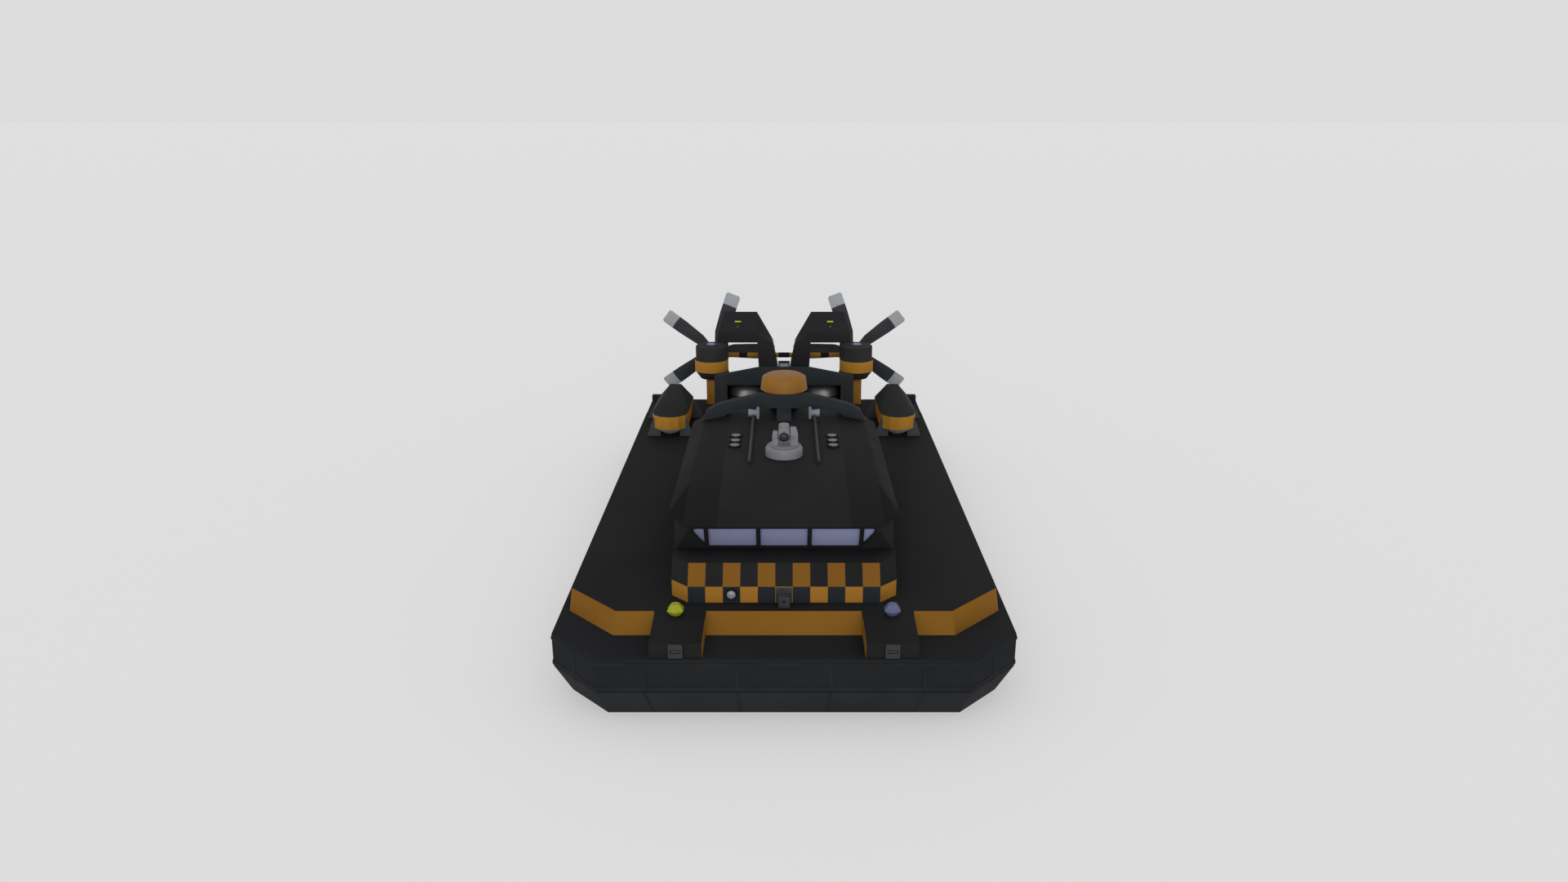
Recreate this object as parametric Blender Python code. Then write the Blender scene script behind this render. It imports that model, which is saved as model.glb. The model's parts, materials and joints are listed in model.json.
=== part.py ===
"""A twin-propeller utility hovercraft, parked on its skirt. Metres, +Z up, bow towards -Y, port side at +X.

The origin is on the floor under the middle of the craft. Each named object is one closed piece of the craft.
"""
from math import cos, pi, radians, sin, sqrt

import bmesh
import bpy
from mathutils import Matrix, Vector

for old in list(bpy.data.objects):
    bpy.data.objects.remove(old, do_unlink=True)

# Driving dimensions
GAP = 0.0003                 # between two pieces that touch
HALF_BEAM = 4.0
BOW_Y = -8.0
STERN_Y = 7.2
HULL_CHAMFER = 0.9           # 45 degree corner of the hull, seen from above
CREASE_Z = 0.56              # where the skirt hangs from the hull
LEDGE_Z = 1.173              # walkway round the upper deck
DECK_Z = 1.498
SKIRT_TAPER = 0.29           # how far the skirt draws in at the floor
SKIRT_THICKNESS = 0.55
WALL = 0.06                  # cabin walls and doors
SILL_Z = 2.13
EAVE_Z = 2.677
ROOF_Z = 3.062
CABIN_HALF = 2.0
CABIN_SIDE_END_Y = 0.2        # where the cabin's rear corners begin
CABIN_REAR = (1.35, 0.9)      # half-width and y of the cabin's rear wall
SHAFT_X = 2.059              # propeller, nacelle and pylon centre plane
SHAFT_Z = 2.692
NACELLE_Y = 6.106
PROPELLER_Y = 7.65
PROPELLER_RADIUS = 1.78
HUB_FRONT_Y = 7.5
SPINNER_Y = 8.0
ROUND_STEPS = 24


def material(name, colour, roughness, metallic=0.0):
    """A Principled material of one colour, given as linear red, green and blue."""
    made = bpy.data.materials.new(name)
    made.use_nodes = True
    shader = made.node_tree.nodes["Principled BSDF"]
    shader.inputs["Base Color"].default_value = (*colour, 1.0)
    shader.inputs["Roughness"].default_value = roughness
    shader.inputs["Metallic"].default_value = metallic
    made.diffuse_color = (*colour, 1.0)
    return made


SKIRT_RUBBER = material("skirt_rubber", (0.020, 0.021, 0.022), 0.8)
HULL_RUBBER = material("hull_rubber", (0.018, 0.019, 0.020), 0.75)
DARK_PAINT = material("dark_paint", (0.017, 0.017, 0.018), 0.5)
ORANGE_PAINT = material("orange_paint", (0.28, 0.13, 0.015), 0.45)
GREY_PAINT = material("grey_paint", (0.045, 0.045, 0.05), 0.5)
LIGHT_GREY = material("light_grey", (0.18, 0.18, 0.19), 0.5)
GLASS = material("glass", (0.14, 0.15, 0.22), 0.1)
GREEN_LENS = material("green_lens", (0.28, 0.29, 0.02), 0.3)
BLUE_LENS = material("blue_lens", (0.11, 0.12, 0.19), 0.3)
BLADE_PAINT = material("blade_paint", (0.043, 0.045, 0.05), 0.4)
INTERIOR = material("interior_plastic", (0.03, 0.03, 0.032), 0.7)
SEAT_VINYL = material("seat_vinyl", (0.02, 0.02, 0.022), 0.6)


def solid(name, shape, finish=None):
    """Turns a bmesh into an object with its faces pointing out."""
    bmesh.ops.recalc_face_normals(shape, faces=shape.faces)
    mesh = bpy.data.meshes.new(name)
    shape.to_mesh(mesh)
    shape.free()
    piece = bpy.data.objects.new(name, mesh)
    bpy.context.scene.collection.objects.link(piece)
    if finish:
        mesh.materials.append(finish)
    return piece


def mirrored(points):
    """The points and their mirror images across the centre plane."""
    return [(side * x, y, z) for x, y, z in points for side in (1, -1)]


def faceted(name, corners, finish=None):
    """The convex solid that the corners span."""
    shape = bmesh.new()
    for corner in corners:
        shape.verts.new(corner)
    bmesh.ops.remove_doubles(shape, verts=shape.verts, dist=0.0001)
    result = bmesh.ops.convex_hull(shape, input=shape.verts)
    spare = [item for item in result["geom_interior"] if isinstance(item, bmesh.types.BMVert)]
    bmesh.ops.delete(shape, geom=spare, context="VERTS")
    bmesh.ops.dissolve_limit(shape, angle_limit=radians(0.5), verts=shape.verts, edges=shape.edges)
    return solid(name, shape, finish)


def block(name, x, y, z, finish=None):
    """A box between the two values of x, of y and of z."""
    return faceted(name, [(a, b, c) for a in x for b in y for c in z], finish)


def lofted(name, sections, finish=None, twisted=False):
    """Skins a row of closed loops with equal point counts and caps both ends.

    A twisted skin's quads aren't flat, so each is split along the same diagonal on both sides of the craft.
    """
    shape = bmesh.new()
    rings = [[shape.verts.new(point) for point in section] for section in sections]
    count = len(rings[0])
    for ring, following in zip(rings, rings[1:]):
        for step in range(count):
            ahead = (step + 1) % count
            quad = (ring[step], ring[ahead], following[ahead], following[step])
            for face in (quad[:3], (quad[0], *quad[2:])) if twisted else (quad,):
                shape.faces.new(face)
    shape.faces.new(rings[0])
    shape.faces.new(rings[-1])
    return solid(name, shape, finish)


def turned(name, profile, centre, axis, finish=None, steps=ROUND_STEPS):
    """Turns a profile of (radius, height) pairs about an axis, "X", "Y" or "Z", through centre."""
    frames = {"Z": ((1, 0, 0), (0, 1, 0), (0, 0, 1)), "Y": ((0, 0, 1), (1, 0, 0), (0, 1, 0)),
              "X": ((0, 1, 0), (0, 0, 1), (1, 0, 0))}
    side, up, along = (Vector(direction) for direction in frames[axis])
    sections = []
    for radius, height in profile:
        angles = [2 * pi * (step + 0.5) / steps for step in range(steps)]
        sections.append([Vector(centre) + radius * (cos(a) * side + sin(a) * up) + height * along
                         for a in angles])
    return lofted(name, sections, finish)


def settle(base, operation, others):
    """Cuts the others from the base, or joins them to it, and removes them."""
    for other in others:
        step = base.modifiers.new("step", "BOOLEAN")
        step.operation = operation
        step.solver = "EXACT"
        step.object = other
    graph = bpy.context.evaluated_depsgraph_get()
    mesh = bpy.data.meshes.new_from_object(base.evaluated_get(graph))
    base.modifiers.clear()
    mesh.name = base.name
    base.data = mesh
    for other in others:
        bpy.data.objects.remove(other, do_unlink=True)
    return base


def cut(base, *others):
    return settle(base, "DIFFERENCE", others)


def join(base, *others):
    return settle(base, "UNION", others)


def hang_on(piece, point, carrier=None):
    """Moves the piece's origin onto its joint's axis, leaves its shape where it is, and parents it."""
    piece.data.transform(Matrix.Translation(-Vector(point)))
    piece.location = point
    if carrier:
        piece.parent = carrier
        piece.location = Vector(point) - carrier.location


def drawn_in(outline, distance):
    """A convex outline of (x, y) corners, listed counter-clockwise, with each side moved in by distance."""
    moved = []
    for index, corner in enumerate(outline):
        before = Vector(corner) - Vector(outline[index - 1])
        after = Vector(outline[(index + 1) % len(outline)]) - Vector(corner)
        first = Vector((-before.y, before.x)).normalized()
        second = Vector((-after.y, after.x)).normalized()
        moved.append(Vector(corner) + distance * (first + second) / (1 + first.dot(second)))
    return moved


# Hull, and the skirt that hangs round it. The bag's sides stand upright down to the crease, and the
# fingers below it draw in to the floor.
CORNER_X = HALF_BEAM - HULL_CHAMFER
HULL_OUTLINE = [(-CORNER_X, BOW_Y), (CORNER_X, BOW_Y), (HALF_BEAM, BOW_Y + HULL_CHAMFER),
                (HALF_BEAM, STERN_Y - HULL_CHAMFER), (CORNER_X, STERN_Y), (-CORNER_X, STERN_Y),
                (-HALF_BEAM, STERN_Y - HULL_CHAMFER), (-HALF_BEAM, BOW_Y + HULL_CHAMFER)]
lofted("hull", [[(x, y, z) for x, y in HULL_OUTLINE] for z in (CREASE_Z, LEDGE_Z)], HULL_RUBBER)

SKIRT_FOOT = drawn_in(HULL_OUTLINE, SKIRT_TAPER)
SKIRT_INSIDE = drawn_in(HULL_OUTLINE, SKIRT_THICKNESS)
# Columns: name, the outline's corners along it, how far its two ends stand off the next length, in y
SKIRT_LENGTHS = [("skirt_bow", (7, 0, 1, 2), 0.0), ("skirt_port", (2, 3), GAP),
                 ("skirt_stern", (3, 4, 5, 6), 0.0), ("skirt_starboard", (6, 7), -GAP)]
for name, corners, stand_off in SKIRT_LENGTHS:
    sections = []
    for corner in corners:
        shift = stand_off if corner == corners[0] else -stand_off if corner == corners[-1] else 0.0
        top = Vector(HULL_OUTLINE[corner])
        foot = SKIRT_FOOT[corner]
        inside = SKIRT_INSIDE[corner]
        sections.append([(top.x, top.y + shift, CREASE_Z - GAP), (foot.x, foot.y + shift, 0.0),
                         (inside.x, inside.y + shift, 0.0), (inside.x, inside.y + shift, CREASE_Z - GAP)])
    lofted(name, sections, SKIRT_RUBBER)

# Upper deck: a low leaning wall all round the bow, with two blocks that carry the fairleads, two corner
# blocks at the stern, and the well whose floor is the hull's top.
# Columns: half-widths of the straight bow wall, of the sides; y of the wall, of the corner's end
DECK_FOOT = (2.924, 3.838, -7.173, -6.263)
DECK_TOP = (2.90, 3.83, -6.90, -5.99)
DECK_REAR_Y = 6.5
WELL = ((-1.90, 1.90), (-5.0, 0.1), (LEDGE_Z - 0.1, DECK_Z + 0.1))
BLOCK_X = (1.34, 2.22)
BLOCK_FRONT_Y = -7.95
BLOCK_LIP_Z = 1.44
BLOCK_TOP_Y = -7.17          # from here back the block is level with the deck
STERN_BLOCK = ((3.40, 3.82), (6.28, 6.49), (1.3, 1.66))


def deck_loop(sizes, z):
    """One level of the upper deck, counter-clockwise."""
    inner, outer, front, corner = sizes
    return [(-inner, front, z), (inner, front, z), (outer, corner, z), (outer, DECK_REAR_Y, z),
            (-outer, DECK_REAR_Y, z), (-outer, corner, z)]


deck = lofted("upper_deck", [deck_loop(DECK_FOOT, LEDGE_Z + GAP), deck_loop(DECK_TOP, DECK_Z)], DARK_PAINT)
cut(deck, block("well", *WELL))
for side in (1, -1):
    edges = [side * x for x in BLOCK_X]
    top_y, top_z = BLOCK_TOP_Y, DECK_Z
    rows = [(BLOCK_FRONT_Y, LEDGE_Z + GAP), (BLOCK_FRONT_Y, BLOCK_LIP_Z), (top_y, top_z),
            (DECK_TOP[2] + 0.2, top_z), (DECK_TOP[2] + 0.2, LEDGE_Z + GAP)]
    bow_block = faceted("bow_block", [(x, y, z) for x in edges for y, z in rows])
    stern_x, stern_y, stern_z = STERN_BLOCK
    join(deck, bow_block, block("stern_block", [side * x for x in stern_x], stern_y, stern_z))

# Cabin body: the nose with its upright lower band and leaning upper band, the level sill behind it and
# the lower side walls.
NOSE = [(1.683, -6.589, DECK_Z + GAP), (1.683, -6.589, 1.803), (2.0, -6.288, DECK_Z + GAP),
        (2.0, -6.288, 1.803), (1.683, -6.299, SILL_Z), (1.993, -5.986, SILL_Z)]
REAR_HALF, REAR_Y = CABIN_REAR
CABIN_TAIL = [(CABIN_HALF, CABIN_SIDE_END_Y, DECK_Z + GAP), (CABIN_HALF, CABIN_SIDE_END_Y, SILL_Z),
              (REAR_HALF, REAR_Y, DECK_Z + GAP), (REAR_HALF, REAR_Y, SILL_Z)]
BELOW_DECK_Z = DECK_Z - 0.2
INNER_NOSE = [(1.655, -6.529, BELOW_DECK_Z), (1.655, -6.529, 1.785), (1.94, -6.26, BELOW_DECK_Z),
              (1.94, -6.26, 1.785), (1.655, -6.262, SILL_Z - WALL), (1.933, -5.98, SILL_Z - WALL)]
INNER_HALF = CABIN_HALF - WALL
# The rear corners of the room inside, each wall as thick as the others: half-width and y
INNER_CORNERS = [(INNER_HALF, CABIN_SIDE_END_Y - 0.02), (REAR_HALF - 0.025, REAR_Y - WALL)]
INNER_TAIL = [(half, y, z) for half, y in INNER_CORNERS for z in (BELOW_DECK_Z, SILL_Z - WALL)]
SCREEN_FOOT_Y = -5.681
SCREEN_HEAD_Y = -5.96
DOOR_OPENING_Y = (-0.70, 0.10)
DOOR_OPENING_Z = (1.56, 2.62)
THROUGH_X = (-CABIN_HALF - 0.2, CABIN_HALF + 0.2)
cabin = faceted("cabin_body", mirrored(NOSE + CABIN_TAIL), DARK_PAINT)
HATCH_CORNERS = [(INNER_HALF, SCREEN_FOOT_Y + WALL)] + INNER_CORNERS
hatch = faceted("hatch", mirrored([(half, y, SILL_Z + z) for half, y in HATCH_CORNERS for z in (-0.1, 0.1)]))
cut(cabin, faceted("inside", mirrored(INNER_NOSE + INNER_TAIL)), hatch,
    block("doorways", THROUGH_X, DOOR_OPENING_Y, DOOR_OPENING_Z))

# Cab frame: the window band, leaning forward at the screen, with three front panes, two three-cornered
# quarter lights and a row of side windows.
FRAME_FOOT_Z = SILL_Z + GAP
FRAME_HEAD_Z = EAVE_Z - GAP
FRAME = [(1.971, SCREEN_FOOT_Y, FRAME_FOOT_Z), (CABIN_HALF, -5.64, FRAME_FOOT_Z),
         (1.653, SCREEN_HEAD_Y, FRAME_HEAD_Z), (CABIN_HALF, -5.42, FRAME_HEAD_Z),
         (CABIN_HALF, CABIN_SIDE_END_Y, FRAME_FOOT_Z), (CABIN_HALF, CABIN_SIDE_END_Y, FRAME_HEAD_Z),
         (REAR_HALF, REAR_Y, FRAME_FOOT_Z), (REAR_HALF, REAR_Y, FRAME_HEAD_Z)]
INNER_FRAME = [(1.935, -5.573, 2.05), (INNER_HALF, -5.54, 2.05), (1.60, -5.930, 2.75),
               (INNER_HALF, -5.38, 2.75)] + [(half, y, z) for half, y in INNER_CORNERS for z in (2.05, 2.75)]
FRONT_WALL_Y = (-6.4, -5.3)
PANE_Z = (2.17, 2.63)
# Columns: x of one pane's two edges
FRONT_PANES = [(-0.435, 0.435), (0.485, 1.368), (-1.368, -0.485)]
QUARTER_LIGHT = [(1.418, 2.20), (1.418, 2.63), (1.625, 2.63), (1.625, 2.52)]
SIDE_WINDOW_Z = (2.21, 2.59)
WINDOW_FIRST_Y = -5.15
WINDOW_WIDTH = 0.95
WINDOW_PITCH = 1.13
WINDOW_COUNT = 4
side_windows = [(WINDOW_FIRST_Y + WINDOW_PITCH * step, WINDOW_FIRST_Y + WINDOW_PITCH * step + WINDOW_WIDTH)
                for step in range(WINDOW_COUNT)]
frame = faceted("cab_frame", mirrored(FRAME), DARK_PAINT)
openings = [faceted("inside", mirrored(INNER_FRAME)),
            block("doorways", THROUGH_X, DOOR_OPENING_Y, DOOR_OPENING_Z)]
openings += [block("pane", x, FRONT_WALL_Y, PANE_Z) for x in FRONT_PANES]
openings += [faceted("quarter", [(side * x, y, z) for x, z in QUARTER_LIGHT for y in FRONT_WALL_Y])
             for side in (1, -1)]
openings += [block("window", THROUGH_X, y, SIDE_WINDOW_Z) for y in side_windows]
cut(frame, *openings)

# Glass: one flat leaning sheet behind the screen's frame, and one sheet behind each row of side windows.
GLASS_THICKNESS = 0.012
SCREEN_SLOPE = (SCREEN_HEAD_Y - SCREEN_FOOT_Y) / (EAVE_Z - SILL_Z)
FRAME_DEPTH_Y = WALL * sqrt(1 + SCREEN_SLOPE ** 2) + 3 * GAP
SCREEN_GLASS = [(1.75, 2.155), (1.635, 2.655)]       # half-width and height of the sheet's two edges
sheet = []
for half, z in SCREEN_GLASS:
    y = SCREEN_FOOT_Y + SCREEN_SLOPE * (z - SILL_Z) + FRAME_DEPTH_Y
    sheet += [(half, y, z), (half, y + GLASS_THICKNESS, z)]
faceted("windscreen_glass", mirrored(sheet), GLASS)
GLASS_MARGIN = 0.04
GLASS_Y = (WINDOW_FIRST_Y - GLASS_MARGIN, side_windows[-1][1] + GLASS_MARGIN)
GLASS_Z = (SIDE_WINDOW_Z[0] - GLASS_MARGIN, SIDE_WINDOW_Z[1] + GLASS_MARGIN)
for name, side in (("side_glass_port", 1), ("side_glass_starboard", -1)):
    faces_x = (side * (INNER_HALF - GAP), side * (INNER_HALF - GAP - GLASS_THICKNESS))
    block(name, faces_x, GLASS_Y, GLASS_Z, GLASS)

# Side doors, as thick as the wall, each on two outside hinges at its forward edge and with its own window.
DOOR_Y = (-0.694, 0.090)
DOOR_Z = (1.566, 2.614)
DOOR_WINDOW_Y = (-0.55, -0.05)
DOOR_WINDOW_Z = (2.21, 2.50)
DOOR_GLASS_X = (1.964, 1.976)
HINGE_X = CABIN_HALF + 0.016
HINGE_Y = -0.697
KNUCKLE_RADIUS = 0.014
KNUCKLE_HEIGHT = 0.10
LUG_REACH = 0.055
LUG_X = (CABIN_HALF - 0.006, HINGE_X)
HINGE_FEET_Z = (1.66, 1.90)


def knuckle(name, side, low, reach):
    """One hinge barrel and the lug that ties it to the wall or to the door."""
    barrel = turned(name, [(KNUCKLE_RADIUS, low), (KNUCKLE_RADIUS, low + KNUCKLE_HEIGHT)],
                    (side * HINGE_X, HINGE_Y, 0), "Z", steps=10)
    lug_x = [side * x for x in LUG_X]
    return join(barrel, block("lug", lug_x, (HINGE_Y, HINGE_Y + reach), (low, low + KNUCKLE_HEIGHT)))


for name, side in (("port", 1), ("starboard", -1)):
    door = block("door_" + name, (side * INNER_HALF, side * CABIN_HALF), DOOR_Y, DOOR_Z, DARK_PAINT)
    cut(door, block("window", THROUGH_X, DOOR_WINDOW_Y, DOOR_WINDOW_Z))
    pane_y = (DOOR_WINDOW_Y[0] + GAP, DOOR_WINDOW_Y[1] - GAP)
    pane_z = (DOOR_WINDOW_Z[0] + GAP, DOOR_WINDOW_Z[1] - GAP)
    pane = block("door_glass_" + name, [side * x for x in DOOR_GLASS_X], pane_y, pane_z, GLASS)
    for foot in HINGE_FEET_Z:
        join(cabin, knuckle("fixed_knuckle", side, foot, -LUG_REACH))
        join(door, knuckle("door_knuckle", side, foot + KNUCKLE_HEIGHT + GAP, LUG_REACH))
    axis_point = (side * HINGE_X, HINGE_Y, DOOR_Z[0])
    hang_on(door, axis_point)
    hang_on(pane, axis_point, door)

# Cabin roof: a hollow shell with a drooping brow, a bevel down to the eave and six round vents.
RIM_Z = 2.72
ROOF = [(1.757, -6.02, EAVE_Z), (1.757, -6.02, RIM_Z), (2.097, -5.356, EAVE_Z), (2.097, -5.356, RIM_Z),
        (2.10, 0.26, EAVE_Z), (2.10, 0.26, RIM_Z), (1.40, 0.98, EAVE_Z), (1.40, 0.98, RIM_Z),
        (1.80, -4.40, 2.93), (1.80, 0.10, 2.93), (1.186, -3.94, ROOF_Z), (1.186, 0.78, ROOF_Z)]
INNER_ROOF = [(1.60, -5.90, 2.50), (1.60, -5.90, 2.68), (INNER_HALF, -5.32, 2.50), (INNER_HALF, -5.32, 2.68),
              (1.74, -4.40, 2.86), (1.74, 0.02, 2.86), (1.16, -3.90, 3.005), (1.16, 0.68, 3.005)]
INNER_ROOF += [(half, y, z) for half, y in INNER_CORNERS for z in (2.50, 2.68)]
VENT_X = 1.017
VENT_RADIUS = 0.135
VENT_HEIGHTS = (3.04, 3.09)
VENT_STEPS = 16
VENTS_Y = (-2.60, -2.28, -1.94)
roof = faceted("cabin_roof", mirrored(ROOF), DARK_PAINT)
cut(roof, faceted("inside", mirrored(INNER_ROOF)))
vent_ends = [(VENT_RADIUS, z) for z in VENT_HEIGHTS]
join(roof, *[turned("vent", vent_ends, (side * VENT_X, y, 0), "Z", steps=VENT_STEPS)
             for side in (1, -1) for y in VENTS_Y])

# Helm: a console across the front of the cabin and two seats on pedestals in the well.
CONSOLE = [(1.10, -5.52, DECK_Z + GAP), (1.10, -5.15, DECK_Z + GAP), (1.10, -5.52, 2.06), (1.10, -5.15, 1.92)]
SEAT_X = 0.62
# Columns: half-width, y of both faces, z of both faces
SEAT_PEDESTAL = (0.12, (-4.62, -4.38), (LEDGE_Z + GAP, 1.62))
SEAT_SQUAB = (0.25, (-4.76, -4.26), (1.60, 1.74))
SEAT_BACK = (0.24, (-4.31, -4.18), (1.68, 2.34))
faceted("helm_console", mirrored(CONSOLE), INTERIOR)
for name, side in (("helm_seat_port", 1), ("helm_seat_starboard", -1)):
    shapes = [block(name, (side * SEAT_X - half, side * SEAT_X + half), y, z, SEAT_VINYL)
              for half, y, z in (SEAT_PEDESTAL, SEAT_SQUAB, SEAT_BACK)]
    join(*shapes).name = name

# Roof rails: a tube on five feet each side, with a floodlight on its aft end.
RAIL_X = 0.682
RAIL_Y = (-3.717, -0.50)
RAIL_Z = 3.13
RAIL_RADIUS = 0.033
RAIL_FEET = 5
FOOT_HALF = (0.02, 0.04)     # in x, in y
FLOODLIGHT_X = (-0.13, 0.13)
FLOODLIGHT_Y = (-0.62, -0.44)
FLOODLIGHT_Z = (3.10, 3.33)
for name, side in (("rail_port", 1), ("rail_starboard", -1)):
    middle = side * RAIL_X
    rail = turned(name, [(RAIL_RADIUS, y) for y in RAIL_Y], (middle, 0, RAIL_Z), "Y", GREY_PAINT, steps=8)
    first, last = RAIL_Y[0] + 0.15, FLOODLIGHT_Y[0] - 0.1
    feet = [first + (last - first) * step / (RAIL_FEET - 1) for step in range(RAIL_FEET)]
    lamp = block("floodlight", [middle + x for x in FLOODLIGHT_X], FLOODLIGHT_Y, FLOODLIGHT_Z)
    half_x, half_y = FOOT_HALF
    join(rail, lamp, *[block("foot", (middle - half_x, middle + half_x), (y - half_y, y + half_y),
                             (ROOF_Z + GAP, RAIL_Z)) for y in feet])

# Radar arch over the roof, with the fairing at its middle, and the radome drum on its top.
ARCH_Y = (-0.34, -0.09)
ARCH_TOP_Z = 3.524
# Columns: x, z of the starboard half turned to port, from the foot up
ARCH_OUTSIDE = [(1.90, 2.80), (1.74, 3.16), (1.475, 3.30), (1.01, 3.42), (0.55, ARCH_TOP_Z)]
ARCH_INSIDE = [(0.83, 3.218), (1.20, 3.14), (1.66, 2.80)]
FAIRING = [(0.163, -0.84, ROOF_Z + GAP), (0.163, -0.78, 3.19), (0.163, -0.30, 3.235),
           (0.163, -0.30, ROOF_Z + GAP)]
# The stand behind the arch that carries the radome. Columns: half-width, y of its front and rear, z
RADOME_STAND = [(0.30, (0.10, 0.62), ROOF_Z + GAP), (0.42, (-0.15, 0.70), ARCH_TOP_Z)]
RADOME_Y = 0.276
RADOME = [(0.541, ARCH_TOP_Z + GAP), (0.50, 3.80), (0.395, 3.861)]
ROOF_CLEARANCE = 1.5 * GAP
half_arch = ARCH_OUTSIDE + [(-x, z) for x, z in reversed(ARCH_OUTSIDE)]
arch_outline = half_arch + [(-x, z) for x, z in reversed(ARCH_INSIDE)] + ARCH_INSIDE
arch = lofted("arch", [[(x, y, z) for x, z in arch_outline] for y in ARCH_Y], DARK_PAINT)
cut(arch, faceted("roof_shape", [(x, y, z + ROOF_CLEARANCE) for x, y, z in mirrored(ROOF)]))
stand = faceted("stand", mirrored([(half, y, z) for half, ends, z in RADOME_STAND for y in ends]))
join(arch, stand, faceted("fairing", mirrored(FAIRING)))
turned("radome", RADOME, (0, RADOME_Y, 0), "Z", ORANGE_PAINT, steps=32)

# Searchlight turret on the roof's brow: a fixed drum, a yoke that pans on it and a head that tilts between
# the yoke's cheeks, with a short sensor drum on its top.
TURRET_Y = -3.116
TURRET_BASE = [(0.377, ROOF_Z + GAP), (0.377, 3.215), (0.34, 3.262)]
YOKE_Z = 3.262 + GAP
YOKE_DISC = [(0.27, YOKE_Z), (0.27, 3.276), (0.255, 3.288)]
CHEEK_INNER_X = 0.125
CHEEK_HALF_Y = 0.11
CHEEK_FOOT_Z = 3.27
# Columns: side, outer x at the foot and at the head, z of the shoulder and of the head; port is the taller
CHEEKS = [(1, 0.28, 0.235, 3.50, 3.634), (-1, 0.235, 0.215, 3.47, 3.55)]
TILT_Z = 3.50
HEAD_RADIUS = 0.15
HEAD_HALF_X = 0.107
TRUNNION_RADIUS = 0.035
SNOUT = [(0.092, 0.24), (0.092, 0.10)]     # radius, distance ahead of the tilt axis
SENSOR = [(0.107, 3.60), (0.107, 3.69), (0.095, 3.705)]
turned("turret_base", TURRET_BASE, (0, TURRET_Y, 0), "Z", GREY_PAINT)
yoke = turned("turret_yoke", YOKE_DISC, (0, TURRET_Y, 0), "Z", LIGHT_GREY)
for side, foot_x, head_x, shoulder, top in CHEEKS:
    rows = [(foot_x, CHEEK_HALF_Y, CHEEK_FOOT_Z), (foot_x, CHEEK_HALF_Y, shoulder),
            (head_x, CHEEK_HALF_Y - 0.05, top)]
    cheek = [(side * x, TURRET_Y + end * y, z) for outer, y, z in rows for x in (CHEEK_INNER_X, outer)
             for end in (1, -1)]
    join(yoke, faceted("cheek", cheek))
head = turned("turret_head", [(HEAD_RADIUS - 0.015, -HEAD_HALF_X), (HEAD_RADIUS, -HEAD_HALF_X + 0.015),
                              (HEAD_RADIUS, HEAD_HALF_X - 0.015), (HEAD_RADIUS - 0.015, HEAD_HALF_X)],
              (0, TURRET_Y, TILT_Z), "X", LIGHT_GREY, steps=20)
trunnions = [(TRUNNION_RADIUS, -CHEEK_INNER_X + GAP), (TRUNNION_RADIUS, CHEEK_INNER_X - GAP)]
join(head, turned("trunnion", trunnions, (0, TURRET_Y, TILT_Z), "X", steps=12),
     turned("snout", [(radius, TURRET_Y - ahead) for radius, ahead in SNOUT], (0, 0, TILT_Z), "Y", steps=20),
     turned("sensor", SENSOR, (0, TURRET_Y, 0), "Z", steps=20))
hang_on(yoke, (0, TURRET_Y, YOKE_Z))
hang_on(head, (0, TURRET_Y, TILT_Z), yoke)

# Engine house on the after deck: a hollow faceted shell whose top falls away aft, open at the front, over the
# engine and two drums, with a lamp on its front edge.
HOUSE_REAR_Y = 5.40
HOUSE_FOOT_Z = DECK_Z + GAP
HOUSE = [(1.56, 3.79, HOUSE_FOOT_Z), (1.56, 3.79, 2.93), (1.48, 3.79, 2.96), (0.67, 3.79, 3.155),
         (1.86, 4.09, HOUSE_FOOT_Z), (1.86, 4.09, 2.85), (1.86, HOUSE_REAR_Y, HOUSE_FOOT_Z),
         (1.86, HOUSE_REAR_Y, 2.38), (1.48, HOUSE_REAR_Y, 2.42), (0.67, HOUSE_REAR_Y, 2.58)]
INNER_HOUSE = [(1.52, 3.84, BELOW_DECK_Z), (1.52, 3.84, 2.87), (1.44, 3.84, 2.90), (0.65, 3.84, 3.10),
               (1.81, 4.12, BELOW_DECK_Z), (1.81, 4.12, 2.80), (1.81, HOUSE_REAR_Y - 0.05, BELOW_DECK_Z),
               (1.81, HOUSE_REAR_Y - 0.05, 2.33), (1.44, HOUSE_REAR_Y - 0.05, 2.37),
               (0.65, HOUSE_REAR_Y - 0.05, 2.53)]
HOUSE_MOUTH = ((-1.50, 1.50), (3.50, 3.95), (1.56, 2.646))
HOUSE_LAMP = ((-0.15, 0.15), (3.83, 3.99), (3.05, 3.27))
ENGINE = ((-0.45, 0.45), (4.35, 5.20), (DECK_Z + GAP, 2.45))
DRUM_X = 1.04
DRUM_Y = 4.45
DRUM = [(0.46, DECK_Z + GAP), (0.46, 2.27), (0.42, 2.42), (0.32, 2.54), (0.18, 2.61), (0.05, 2.63)]
house = faceted("engine_house", mirrored(HOUSE), DARK_PAINT)
lamp = cut(block("lamp", *HOUSE_LAMP), faceted("inside", mirrored(INNER_HOUSE)))
cut(house, faceted("inside", mirrored(INNER_HOUSE)), block("mouth", *HOUSE_MOUTH))
join(house, lamp)
block("engine", *ENGINE, GREY_PAINT)
for name, side in (("intake_drum_port", 1), ("intake_drum_starboard", -1)):
    turned(name, DRUM, (side * DRUM_X, DRUM_Y, 0), "Z", LIGHT_GREY, steps=20)

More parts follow.
